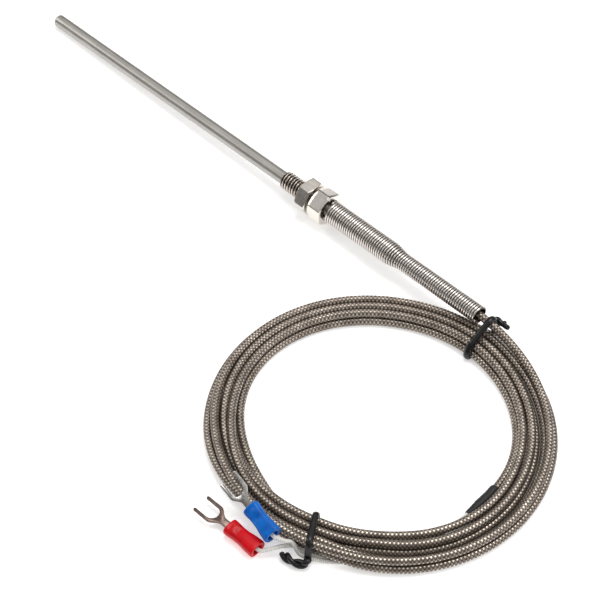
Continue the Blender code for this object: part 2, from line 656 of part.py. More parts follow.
def make_fork(name, material, frame):
    """The flat fork and its crimp barrel in one piece, the barrel inside the sleeve."""
    side = fork_outline()
    outline = side + [(along, -across) for along, across in side[:0:-1]]
    rings = [[(along, across, height) for along, across in outline]
             for height in (-FORK_THICKNESS / 2, FORK_THICKNESS / 2)]
    fork = add_object(name, mesh_from(name, *ring_loft(rings, False)), material, frame)
    front = TERMINAL_SLEEVE_LENGTH - GAP
    rear = front - BARREL_LENGTH
    profile = [(front, BARREL_DIAMETER / 2), (rear, BARREL_DIAMETER / 2), (rear, BARREL_BORE / 2),
               (front - BARREL_CLOSED_LENGTH, BARREL_BORE / 2)]
    barrel = turned(f"{name}_barrel", profile, None, frame, sides=TUBE_SIDES, bored=False)
    combine(fork, barrel, "UNION")
    return fork


def make_terminal(color, polarity, ends, roll, route, material, metal, centre):
    rear, front = place(ends, centre)
    frame = frame_along(f"terminal_axis_{color}", rear, front, roll)
    make_terminal_sleeve(f"terminal_sleeve_{color}", material, frame)
    make_fork(f"fork_terminal_{color}", metal, frame)
    inside = rear + (front - rear).normalized() * LEAD_IN_SLEEVE
    points = [*place(route, centre), rear, inside]
    cord(f"lead_{polarity}", smooth_route(points, LEAD_DIAMETER * 2), LEAD_DIAMETER, GLASS_YARN)


# ---- Twist ties -------------------------------------------------------------------------------
def make_tie(name, middle, heading, loop, tail, centre, coil, spring_end):
    """A tie round the coil in the upright plane along heading, and the channel that it runs in
    under the coil. loop lists (outwards from middle, height, and the share of the spring end's
    height over the coil that is added); tail starts it, beside the coil."""
    outward = Vector((cos(heading), sin(heading), 0))
    base = centre + Vector(middle)
    rise = spring_end.z - COIL_HEIGHT
    points = place(tail, centre)
    points += [base + outward * out + Vector((0, 0, height + share * rise)) for out, height, share in loop]
    cord(name, smooth_route(points, TIE_DIAMETER * 1.5), TIE_DIAMETER, BLACK_PLASTIC)

    half = Vector((CHANNEL_REACH, TIE_DIAMETER / 2 + GAP, TIE_HEIGHT + TIE_DIAMETER / 2 + GAP))
    corners = ((-1, -1), (1, -1), (1, 1), (-1, 1))
    rings = [[(x * half.x, y * half.y, level * half.z) for x, y in corners] for level in (-1, 1)]
    channel = add_object(f"{name}_channel", mesh_from(f"{name}_channel", *ring_loft(rings, False)), None)
    channel.location = base
    channel.rotation_euler = (0, 0, heading)
    combine(coil, channel, "DIFFERENCE")


# ---- Assembly ---------------------------------------------------------------------------------
for leftover in list(bpy.data.objects):
    bpy.data.objects.remove(leftover)

STEEL = principled("satin_stainless", (0.56, 0.54, 0.51), 0.32, 1.0)
PLATED = principled("nickel_plate", (0.70, 0.68, 0.63), 0.28, 1.0)
SPRING_STEEL = principled("spring_steel", (0.60, 0.56, 0.52), 0.25, 1.0)
JUNCTION = principled("welded_junction", (0.40, 0.38, 0.36), 0.5, 1.0)
POSITIVE_WIRE = principled("positive_alloy", (0.55, 0.53, 0.50), 0.35, 1.0)
NEGATIVE_WIRE = principled("negative_alloy", (0.50, 0.50, 0.50), 0.4, 1.0)
COPPER = principled("tinned_copper", (0.75, 0.72, 0.68), 0.35, 1.0)
CERAMIC = principled("alumina", (0.92, 0.90, 0.84), 0.6)
CEMENT = principled("potting_cement", (0.72, 0.68, 0.60), 0.85)
BRAID = principled("steel_braid", (0.45, 0.41, 0.37), 0.4, 0.8)
GLASS_YARN = principled("glass_yarn", (0.86, 0.85, 0.82), 0.7)
BLACK_PLASTIC = principled("black_plastic", (0.02, 0.02, 0.022), 0.45)
RED_VINYL = principled("red_vinyl", (0.72, 0.01, 0.03), 0.35)
BLUE_VINYL = principled("blue_vinyl", (0.0, 0.13, 0.55), 0.35)
FORK_METAL = principled("tinned_fork", (0.62, 0.60, 0.58), 0.3, 1.0)

probe = make_axis()
bead_and_wires = [make_bead(probe),
                  make_wire("positive_wire", 1, POSITIVE_WIRE, probe),
                  make_wire("negative_wire", -1, NEGATIVE_WIRE, probe)]
sheath = make_sheath(probe)
make_insulators(probe)
fitting = make_fitting(probe)
nut = make_lock_nut(probe)
make_swivel(probe)
make_transition(probe)
spring = make_spring(probe)
make_held_cable(probe)
place_over_origin(probe, [sheath, fitting, nut, spring])

spring_middle = probe.matrix_world @ Vector((SPRING_END, 0, 0))
coil_centre = Vector((spring_middle.x + COIL_FROM_SPRING[0], spring_middle.y + COIL_FROM_SPRING[1], 0))
coil_ring = make_coil(coil_centre)
make_tail(probe, spring_middle, coil_centre)
make_breakout(coil_centre)
make_terminal("red", "positive", RED_ENDS, RED_ROLL, RED_LEAD_ROUTE, RED_VINYL, FORK_METAL, coil_centre)
make_terminal("blue", "negative", BLUE_ENDS, BLUE_ROLL, BLUE_LEAD_ROUTE, BLUE_VINYL, FORK_METAL,
              coil_centre)
make_tie("twist_tie_upper", UPPER_TIE_MIDDLE, UPPER_TIE_HEADING, UPPER_TIE_LOOP, UPPER_TIE_TAIL,
         coil_centre, coil_ring, spring_middle)
make_tie("twist_tie_lower", LOWER_TIE_MIDDLE, LOWER_TIE_HEADING, LOWER_TIE_LOOP, LOWER_TIE_TAIL,
         coil_centre, coil_ring, spring_middle)
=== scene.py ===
import bpy
import numpy as np
from math import cos, pi, radians, sin, tan
from mathutils import Matrix, Quaternion, Vector


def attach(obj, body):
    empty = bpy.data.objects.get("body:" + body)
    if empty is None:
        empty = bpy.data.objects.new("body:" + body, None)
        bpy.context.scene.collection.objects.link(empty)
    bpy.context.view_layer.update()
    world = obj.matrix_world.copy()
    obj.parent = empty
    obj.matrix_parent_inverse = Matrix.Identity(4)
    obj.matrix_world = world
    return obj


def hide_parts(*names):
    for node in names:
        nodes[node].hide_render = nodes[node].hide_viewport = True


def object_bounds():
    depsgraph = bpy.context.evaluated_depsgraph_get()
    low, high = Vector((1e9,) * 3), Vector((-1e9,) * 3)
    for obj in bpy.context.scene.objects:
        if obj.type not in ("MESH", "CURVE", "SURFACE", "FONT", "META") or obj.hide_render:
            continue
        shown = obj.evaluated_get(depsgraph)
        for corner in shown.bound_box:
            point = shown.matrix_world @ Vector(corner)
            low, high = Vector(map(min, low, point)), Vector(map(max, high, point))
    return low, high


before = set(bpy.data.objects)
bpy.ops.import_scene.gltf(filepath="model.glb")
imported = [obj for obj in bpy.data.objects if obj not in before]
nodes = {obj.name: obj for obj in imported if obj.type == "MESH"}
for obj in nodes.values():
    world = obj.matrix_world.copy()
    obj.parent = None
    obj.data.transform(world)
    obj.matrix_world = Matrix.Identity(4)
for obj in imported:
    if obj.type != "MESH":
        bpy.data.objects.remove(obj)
cad_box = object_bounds()

# -------------------- sizes, in metres, as the CAD has them
GAP = 0.0003
PROBE_AXIS = Vector((0.99941361, 0, 0.03424081))
PROBE_TIP = Vector((-0.089042, 0, 0.001975))
PROBE_UP = Vector((-PROBE_AXIS.z, 0, PROBE_AXIS.x))
PROBE_SIDE = Vector((0, 1, 0))
SHEATH_RADIUS = 0.002
SHEATH_WALL = 0.00035
THREAD_START = 0.100
NUT_START = 0.1083
NUT_END = 0.1124
HEAD_START = 0.1134
HEAD_END = 0.1184
SHEATH_END = 0.1256
SPRING_START = 0.11875
SPRING_END = 0.17815
THREAD_PITCH = 0.001
THREAD_CREST = 0.00295
THREAD_ROOT = 0.0024
SPRING_WIRE = 0.0008
SPRING_PITCH = 0.00084
SPRING_WIDE_LENGTH = 0.0238
SPRING_TAPER_LENGTH = 0.0056
COIL_CENTRE = np.array((0.091204, -0.04506, 0.0))
CABLE = 0.0025
BREAKOUT = 0.0033
LEAD = 0.00125
SPRING_WIDE_RADIUS = 0.0032      # both to the middle of the wire
SPRING_NARROW_RADIUS = 0.0024
TIP_FLAT = 0.0013
TIP_ROUND = 0.0007
FITTING_BORE = 0.0021
COUNTERBORE = 0.0035
COUNTERBORE_DEPTH = 0.0029
NUT_BORE = 0.00302
NUT_COUNTERSINK = 0.0032
TIE_RADIUS = 0.0006
TIE_FLATNESS = 1.65
TIE_END_RADIUS = 0.00078
TIE_TWIST_LENGTH = 0.0085

BRAID_REPEAT = 0.00115          # one crossing of the ribbons, along the cable
BRAID_CELLS = 5                 # crossings round the cable
BRAID_WIRES = 5                 # ridges across one ribbon
BRAID_RELIEF = 0.00006
YARN_REPEAT = 0.0011
YARN_CELLS = 4
YARN_RELIEF = 0.00003

TARGET = Vector((0.04294, -0.02715, 0))
ELEVATION = radians(52)
HEADING = radians(43.785)      # the view's left-right line, from +X towards +Y
DISTANCE = 0.803
LENS = 165
FLOOR_GLOW = 0.42
FLOOR_DROP = 0.00002


# -------------------- camera
def make_camera():
    data = bpy.data.cameras.new("camera")
    data.lens = LENS
    data.sensor_width = 36
    data.clip_start = 0.01
    data.clip_end = 10
    obj = bpy.data.objects.new("camera", data)
    bpy.context.scene.collection.objects.link(obj)
    away = Vector((-sin(HEADING), cos(HEADING), 0))
    obj.location = TARGET - away * (DISTANCE * cos(ELEVATION)) + Vector((0, 0, DISTANCE * sin(ELEVATION)))
    obj.rotation_euler = (TARGET - obj.location).to_track_quat("-Z", "Y").to_euler()
    bpy.context.scene.camera = obj
    bpy.context.scene.view_settings.view_transform = "Standard"


make_camera()


# -------------------- meshes
def mesh_object(name, points, faces, material, uv=None, sharp=None, body="probe"):
    """points and faces are lists; uv has one list of (u, v) per face."""
    data = bpy.data.meshes.new(name)
    data.from_pydata([tuple(p) for p in points], [], faces)
    data.validate()
    data.polygons.foreach_set("use_smooth", [True] * len(data.polygons))
    if sharp is not None:
        data.set_sharp_from_angle(angle=radians(sharp))
    if uv is not None:
        layer = data.uv_layers.new(name="UVMap")
        layer.data.foreach_set("uv", np.asarray([c for face in uv for c in face], np.float32).ravel())
    data.materials.append(material)
    obj = bpy.data.objects.new(name, data)
    bpy.context.scene.collection.objects.link(obj)
    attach(obj, body)
    return obj


def loft(name, rings, material, closed=False, uv_u=None, uv_span=1.0, sharp=None, body="probe", caps=True):
    """A skin over rings of the same number of points. closed joins the last ring to the first."""
    rings = np.asarray(rings, float)
    count, sides = rings.shape[:2]
    points = list(rings.reshape(-1, 3))
    faces, uv = [], []
    u = np.arange(count + 1) / count if uv_u is None else list(uv_u) + [uv_u[-1]]
    for i in range(count if closed else count - 1):
        a, b = i * sides, ((i + 1) % count) * sides
        for j in range(sides):
            k = (j + 1) % sides
            faces.append((a + j, a + k, b + k, b + j))
            v0, v1 = uv_span * j / sides, uv_span * (j + 1) / sides
            uv.append(((u[i], v0), (u[i], v1), (u[i + 1], v1), (u[i + 1], v0)))
    if caps and not closed:
        for ring, back in ((0, True), (count - 1, False)):
            middle = len(points)
            points.append(rings[ring].mean(axis=0))
            for j in range(sides):
                a, b = ring * sides + j, ring * sides + (j + 1) % sides
                faces.append((b, a, middle) if back else (a, b, middle))
                v0, v1 = uv_span * j / sides, uv_span * (j + 1) / sides
                uv.append(((u[ring], v0), (u[ring], v1), (u[ring], v0)))
    return mesh_object(name, points, faces, material, uv, sharp, body)


def lengths_along(path):
    path = np.asarray(path)
    return np.concatenate(([0], np.cumsum(np.linalg.norm(np.diff(path, axis=0), axis=1))))


def resample(path, step):
    """The path with points a step apart."""
    path = np.asarray(path)
    s = lengths_along(path)
    n = max(4, int(round(s[-1] / step)) + 1)
    t = np.linspace(0, s[-1], n)
    return np.stack([np.interp(t, s, path[:, i]) for i in range(3)], 1)


def catmull(points, per_span=12):
    """A smooth line through the points."""
    p = np.asarray(points, float)
    p = np.vstack((2 * p[0] - p[1], p, 2 * p[-1] - p[-2]))
    out = []
    for i in range(1, len(p) - 2):
        for k in range(per_span):
            t = k / per_span
            out.append(0.5 * (2 * p[i] + (p[i + 1] - p[i - 1]) * t
                              + (2 * p[i - 1] - 5 * p[i] + 4 * p[i + 1] - p[i + 2]) * t * t
                              + (3 * p[i] - p[i - 1] - 3 * p[i + 1] + p[i + 2]) * t ** 3))
    out.append(p[-2])
    return np.array(out)


def frames(path, up=(0, 0, 1), closed=False):
    """Tangents, sideways and upward directions along a path."""
    path = np.asarray(path)
    if closed:
        tangent = np.roll(path, -1, axis=0) - np.roll(path, 1, axis=0)
    else:
        tangent = np.gradient(path, axis=0)
    tangent /= np.linalg.norm(tangent, axis=1)[:, None]
    up = np.broadcast_to(np.asarray(up, float), tangent.shape)
    side = np.cross(up, tangent)
    side /= np.linalg.norm(side, axis=1)[:, None]
    return tangent, side, np.cross(tangent, side)


def swept(path, radius, sides, up=(0, 0, 1), closed=False, flat=1.0):
    """Rings round a path. radius is a number, one per ring, or one per ring and side."""
    path = np.asarray(path)
    _, side, rise = frames(path, up, closed)
    turn = np.arange(sides) * 2 * pi / sides
    r = np.asarray(radius, float)
    if r.ndim == 0:
        r = np.full((len(path), sides), float(r))
    elif r.ndim == 1:
        r = np.repeat(r[:, None], sides, 1)
    return (path[:, None] + side[:, None] * (r * np.cos(turn))[:, :, None]
            + rise[:, None] * (r * np.sin(turn) * flat)[:, :, None])


def around_probe(profile, sides, twist=0.0):
    """Rings round the probe's axis from (distance, radius) pairs."""
    turn = np.arange(sides) * 2 * pi / sides + twist
    tip, axis = np.array(PROBE_TIP), np.array(PROBE_AXIS)
    up, side = np.array(PROBE_UP), np.array(PROBE_SIDE)
    rings = []
    for distance, radius in profile:
        radius = np.broadcast_to(np.asarray(radius, float), turn.shape)
        distance = np.broadcast_to(np.asarray(distance, float), turn.shape)
        rings.append(tip + distance[:, None] * axis + (radius * np.cos(turn))[:, None] * up
                     + (radius * np.sin(turn))[:, None] * side)
    return np.array(rings)


# -------------------- materials
class Shader:
    """A small hand for writing node materials."""

    def __init__(self, name, **values):
        self.material = bpy.data.materials.new(name)
        self.material.use_nodes = True
        self.tree = self.material.node_tree
        self.surface = self.tree.nodes["Principled BSDF"]
        for key, value in values.items():
            self.surface.inputs[key.replace("_", " ")].default_value = value

    def node(self, kind, **settings):
        node = self.tree.nodes.new(kind)
        for key, value in settings.items():
            setattr(node, key, value)
        return node

    def put(self, value, socket):
        if isinstance(value, bpy.types.NodeSocket):
            self.tree.links.new(value, socket)
        elif isinstance(value, (tuple, list)) and len(value) == 3 and len(socket.default_value) == 4:
            socket.default_value = (*value, 1)
        else:
            socket.default_value = value

    def math(self, operation, a, b=None, clamp=False):
        node = self.node("ShaderNodeMath", operation=operation, use_clamp=clamp)
        self.put(a, node.inputs[0])
        if b is not None:
            self.put(b, node.inputs[1])
        return node.outputs[0]

    def plus(self, a, b):
        return self.math("ADD", a, b)

    def minus(self, a, b):
        return self.math("SUBTRACT", a, b)

    def times(self, a, b):
        return self.math("MULTIPLY", a, b)

    def vector(self, operation, a, b=None, output="Vector"):
        node = self.node("ShaderNodeVectorMath", operation=operation)
        self.put(a, node.inputs[0])
        if b is not None:
            self.put(b, node.inputs[1])
        return node.outputs[output]

    def place(self, kind="Object"):
        return self.node("ShaderNodeTexCoord").outputs[kind]

    def parts(self, vector):
        node = self.node("ShaderNodeSeparateXYZ")
        self.put(vector, node.inputs[0])
        return node.outputs

    def join(self, x, y, z=0.0):
        node = self.node("ShaderNodeCombineXYZ")
        for value, socket in zip((x, y, z), node.inputs):
            self.put(value, socket)
        return node.outputs[0]

    def stretch(self, vector, scale, rotation=(0, 0, 0)):
        node = self.node("ShaderNodeMapping")
        self.put(vector, node.inputs["Vector"])
        node.inputs["Scale"].default_value = scale
        node.inputs["Rotation"].default_value = rotation
        return node.outputs[0]

    def noise(self, vector, scale, detail=3.0, roughness=0.6):
        node = self.node("ShaderNodeTexNoise")
        self.put(vector, node.inputs["Vector"])
        node.inputs["Scale"].default_value = scale
        node.inputs["Detail"].default_value = detail
        node.inputs["Roughness"].default_value = roughness
        return node.outputs["Fac"]

    def ramp(self, factor, *stops):
        node = self.node("ShaderNodeValToRGB")
        self.put(factor, node.inputs[0])
        band = node.color_ramp.elements
        while len(band) < len(stops):
            band.new(1.0)
        for element, (position, colour) in zip(band, stops):
            element.position = position
            element.color = (*colour, 1) if isinstance(colour, tuple) else (colour, colour, colour, 1)
        return node.outputs[0]

    def between(self, factor, low, high):
        """A number from low to high as factor goes from 0 to 1."""
        node = self.node("ShaderNodeMapRange")
        self.put(factor, node.inputs["Value"])
        node.inputs["To Min"].default_value = low
        node.inputs["To Max"].default_value = high
        return node.outputs[0]

    def bump(self, height, distance, strength=1.0):
        node = self.node("ShaderNodeBump")
        node.inputs["Strength"].default_value = strength
        node.inputs["Distance"].default_value = distance
        self.put(height, node.inputs["Height"])
        self.tree.links.new(node.outputs[0], self.surface.inputs["Normal"])

    def link(self, value, name):
        self.put(value, self.surface.inputs[name])


def metal(name, dark, light, rough, grain=(60, 3000, 3000), grain_scale=1.0, depth=0.00002, stain=None):
    """Drawn or machined metal, with grain stretched along the local X and a faint stain."""
    shader = Shader(name, Metallic=1.0)
    place = shader.place()
    lines = shader.noise(shader.stretch(place, grain), grain_scale, 4)
    cloud = shader.noise(place, 160, 4)
    blend = shader.plus(shader.times(lines, 0.55), shader.times(cloud, 0.45))
    shader.link(shader.ramp(blend, (0.34, stain or dark), (0.5, dark), (0.66, light)), "Base Color")
    shader.link(shader.between(blend, rough * 0.75, rough * 1.3), "Roughness")
    shader.bump(lines, depth, 0.6)
    return shader.material


def make_braid():
    """Ribbons of fine wire, over and under round the cable. U is metres along it, V goes once round."""
    shader = Shader("braid_weave", Metallic=0.75)
    u, v, _ = shader.parts(shader.place("UV"))
    along = shader.times(u, 1 / BRAID_REPEAT)
    across = shader.times(v, BRAID_CELLS)
    first, second = shader.plus(along, across), shader.minus(along, across)

    def crown(x):
        return shader.math("ABSOLUTE", shader.math("SINE", shader.times(x, pi)))

    def wires(x):
        return shader.math("ABSOLUTE", shader.math("SINE", shader.times(x, pi * BRAID_WIRES)))

    total = shader.plus(shader.math("FLOOR", first), shader.math("FLOOR", second))
    parity = shader.math("ABSOLUTE", shader.math("FLOORED_MODULO", total, 2))
    shape_a = shader.times(crown(first), shader.math("POWER", crown(second), 0.5))
    shape_b = shader.times(crown(second), shader.math("POWER", crown(first), 0.5))
    strand_a = shader.plus(shader.times(shape_a, 0.8), shader.times(wires(first), 0.2))
    strand_b = shader.plus(shader.times(shape_b, 0.8), shader.times(wires(second), 0.2))
    height = shader.plus(shader.times(strand_a, shader.minus(1.0, parity)),
                         shader.times(strand_b, parity))
    wander = shader.noise(shader.stretch(shader.place("UV"), (1, 0.004, 1)), 260, 3)
    tone = shader.plus(height, shader.times(shader.minus(wander, 0.5), 0.5))
    # painted glint: one family of over-ribbons is made lighter, as if catching the light
    painted_glint = shader.times(shader.minus(1.0, parity), 0.16)
    tone = shader.plus(shader.minus(tone, 0.08), painted_glint)
    # the colour follows the relief: painted highlights on the ribbons' crowns and painted shade in the dips
    # between them; the wander noise is the braid's own uneven tone
    shader.link(shader.ramp(tone, (0.10, (0.05, 0.037, 0.029)), (0.45, (0.17, 0.14, 0.118)),
                            (0.78, (0.30, 0.258, 0.222)), (0.99, (0.86, 0.78, 0.67))), "Base Color")
    shader.link(shader.between(height, 0.5, 0.26), "Roughness")
    shader.bump(height, 0.00008, 0.6)
    return shader.material


def make_spring_steel():
    """Bright drawn wire with painted shade in the grooves: darker towards the wire's inner side. V goes once
    round from the outer side.
    """
    shader = Shader("spring_wire_steel", Metallic=1.0)
    _, v, _ = shader.parts(shader.place("UV"))
    # painted shade: the colour darkens from the wire's outer side towards the grooves between turns
    around = shader.math("COSINE", shader.times(v, 2 * pi))
    outer = shader.times(shader.plus(around, 1.0), 0.5)
    drawn = shader.noise(shader.stretch(shader.place(), (300, 300, 300)), 1.0, 3)
    tone = shader.plus(outer, shader.times(shader.minus(drawn, 0.5), 0.14))
    shader.link(shader.ramp(tone, (0.50, (0.05, 0.036, 0.028)), (0.76, (0.24, 0.205, 0.18)),
                            (0.95, (0.68, 0.64, 0.61))), "Base Color")
    shader.link(shader.between(drawn, 0.20, 0.30), "Roughness")
    shader.bump(drawn, 0.000004, 0.5)
    return shader.material


def make_thread_metal():
    """Nickel plate, bright on the thread's crests and the head, with painted shade darkening the thread's
    roots.
    """
    shader = Shader("nickel_plated_thread", Metallic=1.0)
    place = shader.place()
    from_tip = shader.vector("SUBTRACT", place, tuple(PROBE_TIP))
    across = shader.vector("CROSS_PRODUCT", from_tip, tuple(PROBE_AXIS))
    height = shader.vector("LENGTH", across, output="Value")
    cloud = shader.noise(shader.stretch(place, (400, 900, 900)), 1.0, 4)
    # painted shade: the colour darkens with the distance from the axis, towards the thread's roots, with a
    # little random tone from the cloud
    root_shade = shader.plus(shader.times(shader.minus(height, THREAD_ROOT), 1500),
                       shader.times(shader.minus(cloud, 0.5), 0.25))
    shader.link(shader.ramp(root_shade, (0.06, (0.07, 0.05, 0.04)), (0.45, (0.36, 0.31, 0.27)),
                            (0.78, (0.74, 0.705, 0.66))), "Base Color")
    shader.link(shader.between(cloud, 0.13, 0.24), "Roughness")
    shader.bump(cloud, 0.000006, 0.5)
    return shader.material


def make_yarn():
    """White glass yarn, braided fine over the lead."""
    shader = Shader("glass_yarn_weave", Roughness=0.55)
    shader.surface.inputs["Sheen Weight"].default_value = 0.3
    shader.surface.inputs["Subsurface Weight"].default_value = 0.1
    shader.surface.inputs["Subsurface Radius"].default_value = (0.0004, 0.0004, 0.0004)
    u, v, _ = shader.parts(shader.place("UV"))
    along = shader.times(u, 1 / YARN_REPEAT)
    across = shader.times(v, YARN_CELLS)
    a = shader.math("SINE", shader.times(shader.plus(along, across), 2 * pi))
    b = shader.math("SINE", shader.times(shader.minus(along, across), 2 * pi))
    height = shader.between(shader.times(a, b), 0.0, 1.0)
    fuzz = shader.noise(shader.place(), 5200, 3)
    # painted shade: the weave's dips are made darker; the fuzz noise is the yarn's own uneven tone
    tone = shader.plus(shader.times(height, 0.6), shader.times(fuzz, 0.4))
    shader.link(shader.ramp(tone, (0.15, (0.66, 0.64, 0.60)), (0.5, (0.88, 0.87, 0.84)),
                            (0.8, (0.97, 0.965, 0.95))), "Base Color")
    shader.bump(tone, 0.00008, 0.8)
    return shader.material


def make_plastic(name, deep, base, light, rough, scale=900.0, depth=0.00003, coat=0.0, gloss=0.5):
    """Moulded or dipped plastic with faint mottling and fine pits."""
    shader = Shader(name)
    shader.surface.inputs["Coat Weight"].default_value = coat
    shader.surface.inputs["Specular IOR Level"].default_value = gloss
    shader.surface.inputs["Coat Roughness"].default_value = 0.2
    place = shader.place()
    cloud = shader.noise(place, scale * 0.4, 3)
    fine = shader.noise(place, scale * 4, 4)
    shader.link(shader.ramp(cloud, (0.3, deep), (0.5, base), (0.7, light)), "Base Color")
    shader.link(shader.between(fine, rough * 0.8, rough * 1.25), "Roughness")
    bumps = shader.plus(shader.times(cloud, 0.7), shader.times(fine, 0.3))
    shader.bump(bumps, depth, 0.5)
    return shader.material


BRAID = make_braid()
YARN = make_yarn()
SHEATH_STEEL = metal("sheath_steel", (0.40, 0.385, 0.365), (0.48, 0.465, 0.445), 0.36, (40, 1500, 1500),
                     depth=0.000006)
SPRING_STEEL = make_spring_steel()
NICKEL = metal("nickel_plated_brass", (0.66, 0.63, 0.585), (0.72, 0.69, 0.65), 0.16, (300, 700, 700),
               depth=0.000004, stain=(0.58, 0.55, 0.50))
THREAD_METAL = make_thread_metal()
TIN_DARK = metal("tinned_fork_dark", (0.13, 0.09, 0.08), (0.20, 0.145, 0.13), 0.30, (500, 1400, 1400),
                 depth=0.000005, stain=(0.09, 0.06, 0.052))
TIN_BRIGHT = metal("tinned_fork_bright", (0.46, 0.45, 0.44), (0.72, 0.71, 0.70), 0.26, (500, 1400, 1400),
                   depth=0.00001, stain=(0.30, 0.28, 0.27))
BLACK_TIE = make_plastic("tie_plastic", (0.002, 0.002, 0.0022), (0.004, 0.004, 0.0045), (0.009, 0.009, 0.01),
                         0.26, coat=0.05, gloss=0.35)
BLACK_SLEEVE = make_plastic("breakout_rubber", (0.006, 0.0055, 0.0065), (0.011, 0.0105, 0.012),
                            (0.022, 0.021, 0.024), 0.5, gloss=0.35)
RED = make_plastic("red_vinyl_sleeve", (0.46, 0.0, 0.004), (0.58, 0.0, 0.006), (0.68, 0.001, 0.01), 0.30,
                   gloss=0.22)
BLUE = make_plastic("blue_vinyl_sleeve", (0.0, 0.085, 0.40), (0.0, 0.125, 0.53), (0.002, 0.17, 0.64), 0.30,
                    gloss=0.22)


# -------------------- the coil
STEP = radians(2)               # between the planes that the turns are settled in
PLANES = 180
COIL_START = radians(94)        # where the first plane stands
FULL_TURNS = 7
BREAKOUT_FROM, BREAKOUT_TO = radians(9.8), radians(-8.7)
LEADS_OUT = radians(-73)
TIES_AT = (radians(88.3), radians(-73.4))
TIE_LIFT = 0.0009
TIE_SPREAD = radians(9)
LAYER_HEIGHT = 0.0022
LEADS_IN = 0.0375               # the leads' radius where they leave the breakout
LEADS_APART = 0.0007            # each from their middle line
LEADS_DRIFT = 0.0091            # how far out they move
TAIL_RADIUS = 0.0452
SPRING_CLEAR = 0.0028
ROUNDS = 700                    # of pressing together
PULL = 0.035                    # share of the way to its place that a turn moves in a round
SINK = 0.00004                  # how far it falls in a round

# the bundle's inner and outer radius at angles round the coil, in millimetres
EDGES = ((-180, 39.8, 49.1), (-168, 40.4, 49.5), (-150, 39.9, 48.7), (-133, 38.7, 48.0), (-114, 37.2, 46.9),
         (-98, 36.5, 46.3), (-81, 36.1, 45.9), (-57, 35.4, 45.7), (-46, 35.5, 46.4), (-23, 37.6, 49.1),
         (-10, 37.0, 50.2), (4, 37.0, 50.0), (20, 37.8, 49.6), (40, 38.4, 48.7), (57, 37.2, 47.0),
         (74, 36.2, 45.9), (88, 35.8, 45.6), (104, 35.6, 44.6), (132, 36.3, 44.2), (159, 38.3, 47.1),
         (175, 39.6, 48.8), (180, 39.8, 49.1))

# where each turn lies in the bundle: how far across it, and its layer
SLOTS = ((1.0, 2.0), (0.86, 1.0), (1.0, 0.0), (0.68, 0.0), (0.52, 1.0), (0.2, 1.0), (0.34, 0.0), (0.0, 0.0))


def edges(angle):
    table = np.array(EDGES)
    degrees_round = (np.degrees(angle) + 180) % 360 - 180
    return (np.interp(degrees_round, table[:, 0], table[:, 1]) / 1000,
            np.interp(degrees_round, table[:, 0], table[:, 2]) / 1000)


def floor_height(angle):
    """The ties run under the bundle and hold it off the floor."""
    lift = np.zeros_like(angle)
    for at in TIES_AT:
        away = (angle - at + pi) % (2 * pi) - pi
        lift = np.maximum(lift, TIE_LIFT * np.exp(-(away / TIE_SPREAD) ** 2))
    return lift


